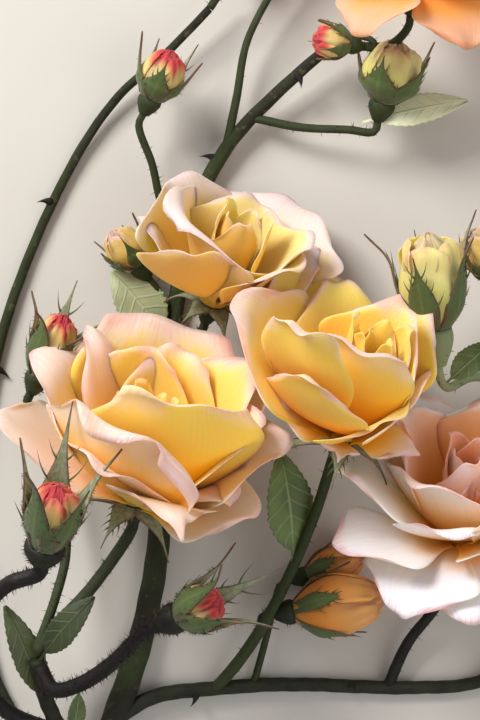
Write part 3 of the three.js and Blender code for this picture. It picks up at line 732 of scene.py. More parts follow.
def ring(whorl, count, first_turn, long, wide, rise):
    """A ring of petals of one whorl, with a small regular unevenness in turn and length."""
    return [
        petal(
            whorl, first_turn + 360 / count * i + 9 * math.sin(3 * i + first_turn),
            long * (1 + 0.05 * math.cos(2 * i)), wide, rise,
        )
        for i in range(count)
    ]


def heart(count, first_turn, reach=38.0, wide=30.0):
    """The furled petals at a bloom's middle, each smaller and steeper than the one before."""
    return [
        petal(
            "heart", first_turn + GOLDEN_ANGLE * i, reach - 1.3 * i, wide * (1 - 0.07 * i),
            (66 + 3 * i, 82, 91, 93), start=4.6 - 0.5 * i, base=4 + 0.5 * i,
        )
        for i in range(count)
    ]


@dataclass(frozen=True)
class Flower:
    """What a bloom or bud stands on: its seat, axis, hip, stalk and sepals.

    hip is its radius and length. sepal is the first sepal's turn, the length and the width, and on
    a bud also how far the tips flare. Only a bud has a radius and a length of its petals, and
    opening and red say how far they open and redden. tint runs from -1, a pale stalk, to 1, purple.
    """
    name: str
    look: str
    seat: tuple
    axis: tuple
    hip: tuple
    stalk: tuple
    stalk_radii: tuple
    sepal: tuple
    tint: float = 0.3
    bristles: int = 60
    size: float = 1.0
    radius: float = 0.0
    long: float = 0.0
    long_sepals: bool = False
    opening: float = 0.0
    red: float = 0.5
    petal_look: str = ""


BLOOM_PETALS = {
    "front_bloom": (
        *heart(6, 200, 36, 22),
        petal("inner", 100, 42, 34, (46, 66, 84, 92), spin=-20, round=0.1, corner=0.2),
        petal("inner", 61, 43, 30, (46, 68, 82, 88), spin=14, curl=40, round=0.1, corner=0.2, blush=0.4),
        petal("cup", 289, 60, 54, (42, 60, 75, 92), curl=40, curl_part=0.12, spin=-16, round=0.06,
              corner=0.1, blush=0.3),
        petal("cup", 20, 50, 46, (44, 60, 68, 62), curl=30),
        petal("cup", 82, 49, 54, (50, 61, 64, 64), curl=20, round=0.06, corner=0.05, spin=6, blush=0.45),
        petal("cup", 134, 50, 18, (56, 66, 70, 66), cup=0.2, roll_left=92, roll_right=76, roll_part=0.55,
              spin=0, round=0.1, blush=0.95),
        petal("cup", 250, 60, 60, (32, 51, 82, 82), curl=130, curl_part=0.2, roll_right=150, spin=-9,
              blush=0.8),
        petal("cup", 152, 51, 58, (44, 52, 60, 66), curl=80, curl_part=0.3, spin=6, round=0.28,
              blush=0.85),
        petal("cup", 342, 48, 44, (40, 54, 60, 52), curl=20),
        petal("outer", 98, 46, 42, (42, 54, 58, 56), curl=0, blush=0.7),
        petal("outer", 18, 48, 42, (40, 52, 56, 48), curl=20, blush=0.7),
        petal("outer", 352, 48, 40, (36, 43, 47, 24), curl=35, blush=1.1),
        petal("outer", 249, 45, 42, (40, 52, 56, 48), curl=30, spin=-12, blush=0.8),
        petal("outer", 184, 46, 50, (26, 34, 38, 32), curl=0, blush=1.5),
        petal("guard", 284, 47, 33, (38, 45, 34, 2), spin=-16, point=0.12),
        petal("guard", 325, 35, 37, (34, 42, 42, -32), spin=-10, blush=1.5),
        petal("guard", 331, 37, 34, (20, 24, 24, 10), blush=1.3),
    ),
    "middle_bloom": (
        *heart(7, 10, 37, 22),
        petal("cup", 250, 44, 34, (56, 71, 83, 82), curl=60, curl_part=0.15, spin=3, round=0.06,
              corner=0.1, blush=0.5),
        petal("cup", 217, 57, 30, (45, 52, 64, 96), curl=80, curl_part=0.14, spin=20, round=0.05,
              corner=0.1, blush=0.3),
        petal("cup", 105, 42, 34, (42, 52, 48, 30), curl=30, spin=2, blush=0.25),
        petal("cup", 55, 42, 36, (50, 64, 70, 60), curl=40, spin=0, blush=0.3),
        petal("cup", 228, 44, 35, (30, 40, 62, 90), curl=60, curl_part=0.15, spin=14, blush=0.3),
        petal("cup", 49, 40, 45, (62, 78, 84, 94), curl=30, spin=-9, blush=0.3),
        petal("cup", 292, 28, 42, (42, 55, 58, 45), curl=10, spin=26, blush=0.15),
        petal("cup", 176, 51, 52, (33, 43, 46, 70), curl=60, curl_part=0.2, spin=-10, blush=0.5),
        petal("outer", 116, 51, 58, (30, 37, 36, 50), curl=30, spin=16, blush=0.3),
        petal("outer", 195, 33, 32, (30, 37, 42, 36), curl=10, spin=-10, blush=0.7),
        petal("outer", 348, 30, 54, (48, 60, 70, 76), curl=10, spin=-3, blush=0.7),
        petal("guard", 335, 20, 24, (30, 24, 10, -20), spin=0, round=0.35, corner=0.5, blush=0.9),
        petal("guard", 262, 11, 12, (10, 16, 20, -10), spin=0, point=0.15, blush=1.0),
    ),
    "back_bloom": (
        *heart(5, 0, 29, 22),
        petal("cup", 245, 34, 42, (30, 42, 57, 78), curl=20, spin=21, blush=0.3),
        petal("cup", 206, 36, 52, (50, 64, 66, 50), curl=120, curl_part=0.24, spin=-3, blush=0.85),
        petal("cup", 345, 34, 38, (44, 60, 68, 62), curl=20),
        petal("cup", 75, 30, 38, (44, 58, 62, 56), curl=30),
        petal("cup", 318, 32, 38, (38, 54, 62, 56), curl=40, blush=0.3),
        petal("outer", 135, 35, 54, (36, 48, 59, 79), curl=40, curl_part=0.25, spin=-2, blush=0.8),
        petal("outer", 170, 30, 36, (30, 40, 44, 42), curl=50),
        petal("outer", 56, 39, 60, (35, 42, 38, 60), curl=50, curl_part=0.25, spin=-8, blush=0.8),
        petal("outer", 12, 31, 34, (34, 42, 46, 40), curl=30),
    ),
    "pale_bloom": (
        *heart(6, 0, 34),
        *ring("cup", 4, 50, 43, 45, (44, 62, 70, 62)),
        petal("outer", 258, 34, 40, (30, 46, 56, 40), start=2, blush=1.3),
        petal("outer", 310, 34, 40, (26, 42, 50, 36), start=2, blush=0.8),
        petal("outer", 175, 44, 43, (34, 42, 40, 20), blush=1.4),
        petal("outer", 120, 46, 43, (34, 48, 50, 40), blush=0.9),
        petal("outer", 60, 46, 43, (34, 46, 50, 38)),
        petal("outer", 5, 44, 43, (30, 40, 40, 26)),
        petal("guard", 203, 40, 40, (10, 20, 14, -5), blush=1.5),
        petal("guard", 238, 36, 40, (10, 6, -12, -40), blush=1.5),
        petal("guard", 272, 34, 36, (14, 6, -10, -30), blush=1.5),
        petal("guard", 315, 40, 40, (5, 4, -12, -40), blush=1.3),
    ),
    "corner_bloom": (
        *heart(5, 0),
        *ring("cup", 3, 30, 46, 45, (42, 62, 70, 58)),
        *ring("outer", 3, 80, 47, 43, (30, 42, 42, 20)),
        petal("guard", 235, 38, 40, (5, -15, -40, -60)),
        petal("guard", 305, 38, 40, (5, -15, -40, -60)),
    ),
}

BLOOMS = (
    Flower("front_bloom", "gold", seat=(-30, -40, 28), axis=(0.13, 0.81, 0.57), hip=(4.4, 8),
           stalk=((-59, -85, 24), (-53, -77, 23), (-43, -66, 20)), stalk_radii=(2, 1.7), sepal=(20, 22, 7),
           tint=0.4),
    Flower("middle_bloom", "gold", seat=(29, -21, 34), axis=(0.24, 0.76, 0.6), hip=(4.2, 7.5),
           stalk=((-8, -99, 2.6), (0, -89, 7), (8, -76, 13), (17, -57, 19), (23, -41, 24)),
           stalk_radii=(1.8, 1.5), sepal=(50, 21, 6.5), tint=0.2),
    # The back bloom's darker peach petal colours carry painted shade.
    Flower("back_bloom", "peach", seat=(-8, 17, 21.6), axis=(0.3, 0.8, 0.5), hip=(4, 7),
           stalk=((-21, -6, 3.3), (-18, 1, 6), (-14, 7, 11.5)), stalk_radii=(1.5, 1.3), sepal=(10, 15, 6),
           bristles=30),
    Flower("pale_bloom", "cream", seat=(64, -52, 18), axis=(0.05, 0.8, 0.6), size=0.95, hip=(4, 7.5),
           stalk=((44, -98, 2.1), (50, -84, 6), (58, -73, 9)), stalk_radii=(1.7, 1.5), sepal=(36, 18, 6),
           tint=0.8, bristles=30),
    Flower("corner_bloom", "orange", seat=(50, 106, 27), axis=(0.12, 0.95, 0.28), size=0.74,
           hip=(3.6, 6.5), stalk=((26, 92, 10.6), (35, 92, 15), (44, 92, 20)), stalk_radii=(1.4, 1.2),
           sepal=(0, 15, 5), bristles=20),
)

BUDS = (
    Flower("near_bud", "coral", seat=(-53, -50, 63), axis=(0.22, 0.81, 0.54), radius=6.6, long=20,
           hip=(5.8, 7.5),
           stalk=((-52, -110, 13), (-67, -103, 20), (-75, -89, 32), (-74, -73, 44), (-64, -62, 54)),
           stalk_radii=(2.4, 2.2), sepal=(91, 38, 14, 66), long_sepals=True, tint=0.85, bristles=420,
           red=1.15),
    Flower("left_bud", "coral", seat=(-58, -4, 25), axis=(0.4, 0.84, 0.37), radius=5.4, long=20,
           hip=(3.8, 6.5),
           stalk=((-59, -84, 24), (-54, -70, 20), (-51, -56, 15), (-53, -38, 12), (-59, -22, 14)),
           stalk_radii=(1.4, 1.3), sepal=(88, 28, 12, 50), long_sepals=True, bristles=140, red=0.9),
    Flower("low_bud", "coral", seat=(-17, -72, 44), axis=(0.84, 0.38, 0.37), radius=5.8, long=14,
           hip=(4.6, 8), stalk=((-58, -89, 24), (-54, -95, 27), (-46, -93, 31), (-36, -86, 36)),
           stalk_radii=(2.3, 2.2), sepal=(51, 30, 10, 55), long_sepals=True, tint=0.9, bristles=420,
           red=1.7),
    Flower("half_open_bud", "gold", seat=(56, 9, 32), axis=(-0.1, 0.96, 0.25), radius=9, long=28,
           hip=(5, 11),
           stalk=((84, -78, 7.6), (91, -66, 4.5), (96, -46, 2.6), (93, -22, 2.6), (82, -8, 5),
                  (69, -5, 12), (60.5, -8, 21)),
           stalk_radii=(1.5, 1.3), sepal=(30, 33, 9, 62), long_sepals=True, tint=-0.8, bristles=80,
           opening=2.4, red=0.3, petal_look="straw"),
    Flower("orange_bud", "orange", seat=(16, -74, 13), axis=(0.98, 0.15, 0.1), radius=8.6, long=27,
           hip=(3.8, 6), stalk=((6, -79, 11.3),), stalk_radii=(1.3, 1.2), sepal=(0, 20, 5, 72), tint=0.7,
           red=0.2),
    Flower("rear_bud", "orange", seat=(20, -64, 6.5), axis=(0.93, 0.34, 0.08), radius=5, long=18,
           hip=(3, 5), stalk=((4, -97, 2.4), (7, -86, 3.5), (10, -74, 5)), stalk_radii=(1.1, 1),
           sepal=(20, 14, 4, 72), bristles=20, red=0.4),
    Flower("top_bud", "gold", seat=(42, 76, 15), axis=(0.25, 0.92, 0.3), radius=8.2, long=18, hip=(4, 6),
           stalk=((4, 72, 6), (18, 69, 8), (32, 68, 11)), stalk_radii=(1.3, 1.2), sepal=(30, 20, 12, 72),
           bristles=30, opening=0.8, red=0.4, petal_look="straw"),
    Flower("red_bud", "coral", seat=(-26, 77, 16), axis=(0.42, 0.85, 0.3), radius=6, long=15,
           hip=(3.6, 5.5), stalk=((-16, 36, 3), (-23, 46, 7), (-26, 58, 10)), stalk_radii=(1.3, 1.1),
           sepal=(50, 19, 10, 72), bristles=30, red=1.5),
    Flower("pale_bud", "peach", seat=(-30, 28, 10), axis=(-0.6, 0.76, 0.24), radius=5.2, long=13,
           hip=(3.2, 5), stalk=((-20, 8, 3.2), (-22, 15, 5)), stalk_radii=(1.2, 1), sepal=(0, 14, 5, 72),
           bristles=20, red=0.1),
    Flower("edge_bud", "peach", seat=(77, 24, 26), axis=(-0.65, 0.73, 0.2), radius=6, long=18,
           hip=(3.4, 5.5), stalk=((95.6, -42, 2.7), (98, -22, 5), (97, -4, 13), (91, 8, 21)),
           stalk_radii=(1.1, 1), sepal=(15, 17, 5, 72), bristles=30, red=0.5),
    Flower("small_red_bud", "coral", seat=(32, 92, 20), axis=(-0.95, 0.15, 0.2), radius=4.2, long=11,
           hip=(2.8, 4), stalk=((27, 93, 11), (33, 95, 15), (39, 93, 19)), stalk_radii=(1, 0.9),
           sepal=(0, 12, 4, 72), bristles=15, red=1.4),
    Flower("side_tip_bud", "coral", seat=(0, 117, 12), axis=(0.3, 0.93, 0.15), radius=4.6, long=13,
           hip=(3, 4.5), stalk=((-9, 104, 9.4), (-6, 108, 10)), stalk_radii=(1.2, 1),
           sepal=(10, 14, 4.5, 72), bristles=15, red=0.9),
    Flower("far_bud", "peach", seat=(14, 121, 13), axis=(0.2, 0.96, 0.15), radius=4.6, long=13,
           hip=(3, 4.5), stalk=((-4, 64, 4.6), (-1, 78, 7), (2, 94, 9), (9, 108, 11)),
           stalk_radii=(1.3, 1), sepal=(30, 14, 4.5, 72), bristles=15, red=0.4),
)


@dataclass(frozen=True)
class Stem:
    """A stem that lies along a route, with its prickles."""
    name: str
    slot: str
    radii: tuple
    prickles: int
    tint: float
    route: tuple


STEMS = (
    Stem("cane", "wood", (4.2, 1.6), 7, 0.0, (
        (-42, -131, 4.3), (-39, -112, 4.2), (-33, -95, 4.1), (-27, -72, 3.9), (-23, -42, 3.6),
        (-21, -12, 3.3), (-19, 18, 3), (-13, 46, 2.8), (-2, 66, 4.5), (13, 81, 8), (28, 94, 11),
    )),
    Stem("left_stem", "stem", (2.3, 2.3), 2, 0.6, (
        (-41, -127, 5), (-50, -114, 10), (-56, -101, 18), (-59, -87, 24),
    )),
    Stem("right_stem", "stem", (2.3, 1.8), 3, 0.6, (
        (-38, -108, 4.3), (-27, -101, 3.4), (-6, -98, 2.5), (18, -97, 2.3), (48, -98, 2.1),
        (72, -96, 2.2), (82, -88, 4), (84, -76, 8),
    )),
    Stem("side_cane", "wood", (2.0, 1.2), 5, 1.0, (
        (-42, -122, 4.4), (-60, -115, 3), (-73, -96, 2.1), (-78, -69, 2), (-78, -39, 1.9), (-75, -9, 1.8),
        (-68, 18, 1.7), (-58, 43, 1.7), (-47, 64, 2.2), (-36, 79, 4), (-22, 91, 7), (-9, 104, 9),
    )),
)


@dataclass(frozen=True)
class Leaf:
    """A leaf: its foot, the direction it runs in and the one its upper side looks in.

    pale runs from -1, a leaf darkened to near-black purple as painted shade, to 1, a bleached one.
    """
    name: str
    foot: tuple
    heading: tuple
    facing: tuple
    long: float
    wide: float
    pale: float = 0.0


LEAVES = (
    Leaf("middle_leaf", (15.6, -60, 18.6), (-0.1, 0.95, 0.15), (0.5, 0, 1), 34, 15, 0.2),
    Leaf("back_leaf", (-21, 6, 5), (-0.62, 0.75, 0.18), (0, 0.2, 1), 27, 14, 0.6),
    Leaf("edge_leaf", (59.3, -7.2, 23.9), (0.75, 0.65, -0.1), (-0.3, 0.2, 1), 20, 8, 0.4),
    Leaf("top_leaf", (36, 70, 12), (0.98, 0.2, 0.1), (0, 0.2, 1), 32, 9, 0.9),
    # dark_leaf, left_leaf and low_bract have negative pale values: their near-black purple is painted
    # shade.
    Leaf("dark_leaf", (-58, -87, 25), (0.6, 0.72, 0.33), (-0.4, 0.2, 1), 27, 9, -0.65),
    Leaf("left_leaf", (-56, -102, 17), (-0.35, 0.9, 0.2), (0.4, 0, 1), 34, 9, -0.6),
    Leaf("low_bract", (-46, -93.5, 31), (-0.15, -0.95, 0.25), (0.8, 0, 1), 17, 6, -0.5),
)


# Making the pieces

def add_prickles(sheaf, stem, points):
    """Hooked prickles, each a short tube that bends back towards the foot of the stem."""
    tangents = unit(np.gradient(points, axis=0))
    for i in range(stem.prickles):
        along = (i + 0.6) / stem.prickles
        at = int(along * (len(points) - 1))
        angle = math.radians(40 + 55 * math.sin(2.1 * i))
        tangent = tangents[at]
        side = unit(np.cross(tangent, (0, 0, 1))) * (1 if i % 2 == 0 else -1)
        out = side * math.cos(angle) + np.array((0, 0, math.sin(angle)))
        radius = np.interp(along, (0, 1), stem.radii)
        foot = points[at] + out * radius * 0.7
        t = np.linspace(0, 1, SPINE_POINTS)[:, None]
        spine = foot + PRICKLE_LONG * (t * out - 0.45 * t ** 2 * tangent)
        radii = PRICKLE_RADIUS * (1 - t.ravel()) ** 1.3 + 0.05
        add_tube(sheaf, spine, radii, PRICKLE_SIDES, 1, blush=0.8)


def bark_relief(angle, along):
    """Shallow ridges that wind along a cane."""
    waves = np.sin(5 * angle + 31 * along) + np.sin(3 * angle - 57 * along) + np.sin(143 * along + angle)
    return 0.025 * waves


def stalk_relief(angle, along):
    """Four faint ribs along a stalk, with fine rings."""
    return 0.02 * np.sin(4 * angle + 9 * along) + 0.012 * np.sin(60 * along)


def stalk_points(flower, flower_frame):
    """The stalk's middle line, which ends straight inside the hip."""
    end = -flower.hip[1] * HIP_SINK
    straight = flower_frame.place(np.array(((0, 0, end - NECK_LONG), (0, 0, end))))
    return spline([*flower.stalk, *straight], STEM_STEP)


def add_bristles(sheaf, flower, points, random):
    """Fine bristles all round a stalk."""
    tangents, normals, binormals = carried_frames(points)
    at = (random.random(flower.bristles) ** 0.8 * (len(points) - 1)).astype(int)
    angle = random.random(flower.bristles) * 2 * math.pi
    out = around(angle, normals[at], binormals[at])
    radius = np.interp(at / (len(points) - 1), (0, 1), flower.stalk_radii)
    feet = points[at] + out * radius[:, None] * 0.95
    shift = (random.random(flower.bristles)[:, None] - 0.5) * STEM_STEP
    lengths = 0.7 + 1.3 * random.random(flower.bristles)
    lean = tangents[at] * (random.random(flower.bristles)[:, None] - 0.5) * 0.7
    feet = feet + tangents[at] * shift
    add_spikes(sheaf, feet, out + lean, lengths, BRISTLE_RADII["stalk"], blush=1.0)


def add_hip(sheaf, flower, flower_frame, random):
    """The swollen hip under a flower, closed at both ends, with its bristles."""
    radius, long = flower.hip
    high = np.linspace(-1, 0, HIP_ROWS)
    wide = through(*zip(*HIP_PROFILE), high) * radius
    angle = np.linspace(0, 2 * math.pi, HIP_SIDES, endpoint=False)
    height = np.broadcast_to(high[:, None] * long, (HIP_ROWS, HIP_SIDES))
    rings = np.stack([wide[:, None] * np.cos(angle), wide[:, None] * np.sin(angle), height], -1)
    middle = np.zeros((1, HIP_SIDES, 3))
    rings = np.concatenate([middle + (0, 0, -long), rings, middle])
    sheaf.add(
        flower_frame.place(rings), grid_faces(len(rings), HIP_SIDES, closed=True),
        blush=flower.tint * 0.8, along=0.5,
    )
    count = flower.bristles // 3
    angle = random.random(count) * 2 * math.pi
    high = -0.95 + 0.85 * random.random(count)
    wide = through(*zip(*HIP_PROFILE), high) * radius
    feet = np.stack([wide * np.cos(angle), wide * np.sin(angle), high * long], -1)
    out = around(angle, flower_frame.side, flower_frame.back)
    lengths = 0.6 + 0.9 * random.random(count)
    add_spikes(sheaf, flower_frame.place(feet), out, lengths, BRISTLE_RADII["hip"], blush=1.0)


def open_sepals(flower):
    """Sepals bent back under an open bloom."""
    first, long, wide = flower.sepal
    return [
        Blade(first + SEPAL_TURN * i, long * share, wide, (-5, -25, -45, -60), start=2.6, base=SEPAL_BASE)
        for i, share in enumerate(SEPAL_SHARES)
    ]


def closed_sepals(flower):
    """Sepals that lie on a bud up to its widest ring and stand free beyond it."""
    first, long, wide, flare = flower.sepal
    shoulder = np.interp(BUD_SHOULDER, *zip(*BUD_PROFILE)) * flower.radius + SEPAL_STANDOFF
    blades = []
    for i, share in enumerate(SEPAL_SHARES):
        widest = (flower.radius + SEPAL_STANDOFF, BUD_WIDEST * flower.long)
        free = max(long * share - BUD_WIDEST * flower.long, 3)
        angle = math.radians(flare + 9 * math.sin(2.4 * i))
        middle = (widest[0] + 0.08 * free, widest[1] + 0.45 * free)
        tip = (middle[0] + 0.55 * free * math.cos(angle), middle[1] + 0.55 * free * math.sin(angle))
        path = [(flower.hip[0] * SEPAL_FOOT, SEPAL_BASE), (shoulder, BUD_SHOULDER * flower.long), widest]
        path += [middle, tip] if flower.long_sepals else [tip]
        knots = (0, 0.12, 0.3, 0.6, 1) if flower.long_sepals else (0, 0.12, 0.4, 1)
        blades.append(Blade(
            first + SEPAL_TURN * i, long * share, wide, cup=SEPAL_HUG, path=tuple(path), knots=knots,
        ))
    return blades


def sepal_point(flower_frame, blade, u, v, lift=0.0):
    """Points on a sepal, moved by lift along its inner normal."""
    u, v = np.asarray(u, float), np.asarray(v, float)
    return flower_frame.place(blade_points(blade, sepal_half, u, v, lift))


def add_lobes(sheaf, flower_frame, blade, edges):
    """Thread-like side lobes that leave the edges of a sepal and bend towards its tip."""
    t = np.linspace(0, 1, SPINE_POINTS)[:, None]
    for edge in edges:
        for i, v in enumerate(LOBE_PLACES):
            foot = sepal_point(flower_frame, blade, 0.85 * edge, v)
            outward = unit(foot - sepal_point(flower_frame, blade, 0.0, v))
            forward = unit(sepal_point(flower_frame, blade, 0.85 * edge, v + 0.02) - foot)
            reach = LOBE_LENGTH * blade.long * (1 + 0.35 * math.sin(2.3 * i + blade.turn))
            spine = foot + reach * (t * (0.75 * outward + 0.6 * forward) + 0.4 * t ** 2 * forward)
            add_tube(sheaf, spine, LOBE_RADIUS * (1.05 - t.ravel()), LOBE_SIDES, 1, blush=0.3)


def add_sepal_bristles(sheaf, flower_frame, blade, count, random):
    """Fine bristles on the back and edges of a sepal."""
    v = 0.04 + 0.62 * random.random(count)
    u = np.sign(random.random(count) - 0.5) * random.random(count) ** 0.35
    feet = sepal_point(flower_frame, blade, u, v, -0.2)
    outward = sepal_point(flower_frame, blade, u, v, -1.2) - feet
    middle = sepal_point(flower_frame, blade, 0 * u, v)
    sideways = sepal_point(flower_frame, blade, np.sign(u), v) - middle
    directions = unit(outward + unit(sideways) * np.abs(u)[:, None])
    lengths = 0.5 + 0.9 * random.random(count)
    add_spikes(sheaf, feet, directions, lengths, BRISTLE_RADII["sepal"], blush=0.7)


def add_calyx(sheaf, flower, sizes, random):
    """Stalk, hip and sepals of a flower. Slot 0 is the stalk's finish and slot 1 the sepals'."""
    flower_frame = FlowerFrame(flower.seat, flower.axis)
    points = stalk_points(flower, flower_frame)
    radii = np.linspace(*flower.stalk_radii, len(points))
    add_tube(sheaf, points, radii, STALK_SIDES, relief=stalk_relief, blush=flower.tint)
    add_bristles(sheaf, flower, points, random)
    add_hip(sheaf, flower, flower_frame, random)
    blades = closed_sepals(flower) if flower.radius else open_sepals(flower)
    for blade, edges in zip(blades, LOBED_EDGES):
        add_blade(
            sheaf, flower_frame, blade, sepal_half, SEPAL_ROWS, SEPAL_COLUMNS,
            sizes.sepal_thickness / METRES, slot=1,
        )
        add_lobes(sheaf, flower_frame, blade, edges)
        add_sepal_bristles(sheaf, flower_frame, blade, flower.bristles // 6, random)


def add_claws(sheaf, flower_frame, size, thick):
    """The narrow claws of the petals, closed to a ring round the foot of a corolla."""
    heights, widths = np.transpose(CLAWS) * size

    def surface(u, v, lift):
        high = heights[0] + v * (heights[-1] - heights[0])
        reach = np.interp(high, heights, widths) - lift
        points = np.stack([reach * np.cos(math.pi * u), reach * np.sin(math.pi * u), high], -1)
        return flower_frame.place(points)
    add_shell(sheaf, surface, CLAW_ROWS, HIP_SIDES, thick, mapped=True)


def bud_petals(flower):
    """Surfaces and blushes of a bud's closed petals, each wrapped over the edge of the next."""
    flower_frame = FlowerFrame(flower.seat, flower.axis)
    shares, widths = zip(*BUD_PROFILE)

    def wrapped(turn, spread, top, lift, flare=0.0, droop=0.12):
        def surface(u, v, raised):
            high = v * top * (1 - droop * np.abs(u) ** 2.5)
            wide = through(shares, widths, high) * flower.radius
            crinkle = 0.45 * np.sin(9 * u + 5 * v + turn) * v ** 3
            wide = wide + lift * (0.5 + 0.5 * u) + flare * smooth((v - 0.7) / 0.3) + crinkle - raised
            wide = np.maximum(wide, 0)
            angle = math.radians(turn) + math.radians(spread) * u * (1 - 0.2 * v) + 0.35 * v
            points = np.stack([wide * np.cos(angle), wide * np.sin(angle), 0.3 + high * flower.long], -1)
            return flower_frame.place(points)
        return surface

    core = [wrapped(120 * i, 110, 1.0, -0.7, droop=0.0) for i in range(3)]
    inner = [wrapped(60 + 120 * i, 95, 0.99, 0.3) for i in range(3)]
    outer = [wrapped(20 + 72 * i, 58, 0.9 + 0.03 * (i % 3), 0.9, flower.opening + 0.4) for i in range(5)]
    tight = [(surface, flower.red) for surface in core + inner]
    return tight + [(surface, 0.4 * flower.red) for surface in outer]


def stand_for(piece, node):
    """Rides a piece on the branch's one body in place of a node of the frame."""
    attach(piece, "root")
    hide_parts(node)


# What a user may change

def tone(name, description, code):
    return bpy.props.FloatVectorProperty(
        name=name, description=description, subtype="COLOR", default=linear(code), min=0, max=1,
    )


def length(name, description, default):
    return bpy.props.FloatProperty(
        name=name, description=description, default=default, min=0.0, subtype="DISTANCE", unit="LENGTH",
    )


PETAL_PARTS = {
    "foot": "Colour at the foot of the petal",
    "middle": "Colour of the petal's inner face",
    "rim": "Colour that spreads from the rim",
    "edge": "Colour of the very edge",
    "back": "Colour of the petal's outer face",
}
PALETTES = {
    "gold": ("fcac0c", "fdd76c", "fcd7c9", "f09e96", "fbca5e", 0.8),
    "peach": ("e8b648", "f2d486", "f0d4cc", "e8b4b4", "d8aa62", 0.4),
    # These petal colours are darker and duller than the gold ones, above all the outer face: the peach hue
    # is the petals' own colour, the darkness is painted shade.
    "cream": ("fcae2c", "ffb49c", "fcf8f4", "f47890", "f8eee6", 0.8),
    "orange": ("ee842c", "f4a050", "f2a68c", "d85c44", "f0a05c", 0.9),
    "coral": ("f2c878", "f0906c", "d81c3c", "b81030", "f3c67a", 1.0),
    "straw": ("c6c464", "f4d97c", "f6cfa4", "e89c80", "ecd488", 0.6),
}


def petal_group(look):
    """A PropertyGroup with the colours of one kind of petal."""
    *codes, back_blush = PALETTES[look]
    properties = {
        part: tone(part.title(), words, code) for (part, words), code in zip(PETAL_PARTS.items(), codes)
    }
    properties["back_blush"] = bpy.props.FloatProperty(
        name="Back blush", description="Share of the rim's colour on the outer face", default=back_blush,
        min=0, max=1, subtype="FACTOR",
    )
    return type(f"Rose{look.title()}Petals", (bpy.types.PropertyGroup,), {"__annotations__": properties})


class RoseGreens(bpy.types.PropertyGroup):
    """Colours of the stems, calyxes, leaves and floor."""
    stem: tone("Stem", "Green of the young stems", "2e3a1b")
    # The same near-black purple also darkens some leaves as painted shade.
    stem_purple_and_leaf_shade: tone("Stem purple", "Purple that the sun gives young stems", "100b0e")
    bark: tone("Bark", "Bark of the older canes", "221f16")
    bark_dark: tone("Bark cracks", "Cracks along the bark", "1e1a15")
    bark_light: tone("Bark flecks", "Pale flecks on bark and stems", "665d47")
    cut_wood: tone("Cut wood", "Wood at the cut end", "d9cfa4")
    pith: tone("Pith", "Soft pith in the middle of the cut", "b9a878")
    sepal: tone("Sepal", "Green of the sepals", "364b18")
    sepal_light: tone("Sepal light", "Lighter green of the sepals' ribs", "607238")
    sepal_red: tone("Sepal red", "Dark red of the sepals' edges and tips", "5e2a26")
    wool: tone("Wool", "Grey wool inside the sepals", "a8b092")
    leaf: tone("Leaf", "Green of a leaf's upper side", "3f5a2c")
    leaf_light: tone("Leaf light", "Lighter patches of a leaf", "66803f")
    leaf_back: tone("Leaf back", "Matt green of a leaf's underside", "8fa176")
    leaf_pale: tone("Leaf pale", "Bleached parts of young leaves", "cfd6b4")
    floor: tone("Floor", "Plain pale floor", "c9c6c0")


class RoseSizes(bpy.types.PropertyGroup):
    """Sizes that the finer parts are made to."""
    petal_thickness: length("Petal thickness", "Thickness of a petal at its middle", 0.0004)
    vein_depth: length("Vein depth", "Depth of the fine veins in a petal", 0.0003)
    sepal_thickness: length("Sepal thickness", "Thickness of a sepal at its middle", 0.0006)
    leaf_thickness: length("Leaf thickness", "Thickness of a leaf at its middle", 0.0004)


# Everything that can be set for the branch, under one PropertyGroup
GROUPS = {**{look: petal_group(look) for look in PALETTES}, "greens": RoseGreens, "sizes": RoseSizes}
RoseBranch = type("RoseBranch", (bpy.types.PropertyGroup,), {"__annotations__": {
    name: bpy.props.PointerProperty(name=name.title(), type=group) for name, group in GROUPS.items()
}})


def finish_once(name, make, *choices):
    """The material of that name, made the first time it is asked for."""
    return bpy.data.materials.get(name) or make(name, *choices)


def petal_material(rose, look):
    return finish_once(f"{look}_petal", petal_finish, getattr(rose, look), rose.sizes.vein_depth)


# Operators

class ROSE_OT_blooms(bpy.types.Operator):
    """Make the open corollas"""
    bl_idname = "rose.blooms"
    bl_label = "Blooms"

    def execute(self, context):
        rose = context.scene.rose_branch
        thick = rose.sizes.petal_thickness / METRES
        for bloom in BLOOMS:
            flower_frame = FlowerFrame(bloom.seat, bloom.axis)
            petals = BLOOM_PETALS[bloom.name]
            sheaf = Sheaf(cells=len(petals) + 1)
            for blade in petals:
                grown = replace(blade, long=blade.long * bloom.size, wide=blade.wide * bloom.size)
                add_blade(
                    sheaf, flower_frame, grown, petal_half, PETAL_ROWS, PETAL_COLUMNS, thick, mapped=True,
                )
            add_claws(sheaf, flower_frame, bloom.size, thick)
            piece = sheaf.to_object(f"{bloom.name}_petals", [petal_material(rose, bloom.look)])
            stand_for(piece, bloom.name)
        return {"FINISHED"}


class ROSE_OT_buds(bpy.types.Operator):
    """Make the closed buds"""
    bl_idname = "rose.buds"
    bl_label = "Buds"

    def execute(self, context):
        rose = context.scene.rose_branch
        thick = rose.sizes.petal_thickness / METRES
        for bud in BUDS:
            petals = bud_petals(bud)
            sheaf = Sheaf(cells=len(petals))
            for surface, blush in petals:
                add_shell(sheaf, surface, PETAL_ROWS, PETAL_COLUMNS, thick, blush=blush, mapped=True)
            finish = petal_material(rose, bud.petal_look or bud.look)
            stand_for(sheaf.to_object(f"{bud.name}_petals", [finish]), bud.name)
        return {"FINISHED"}


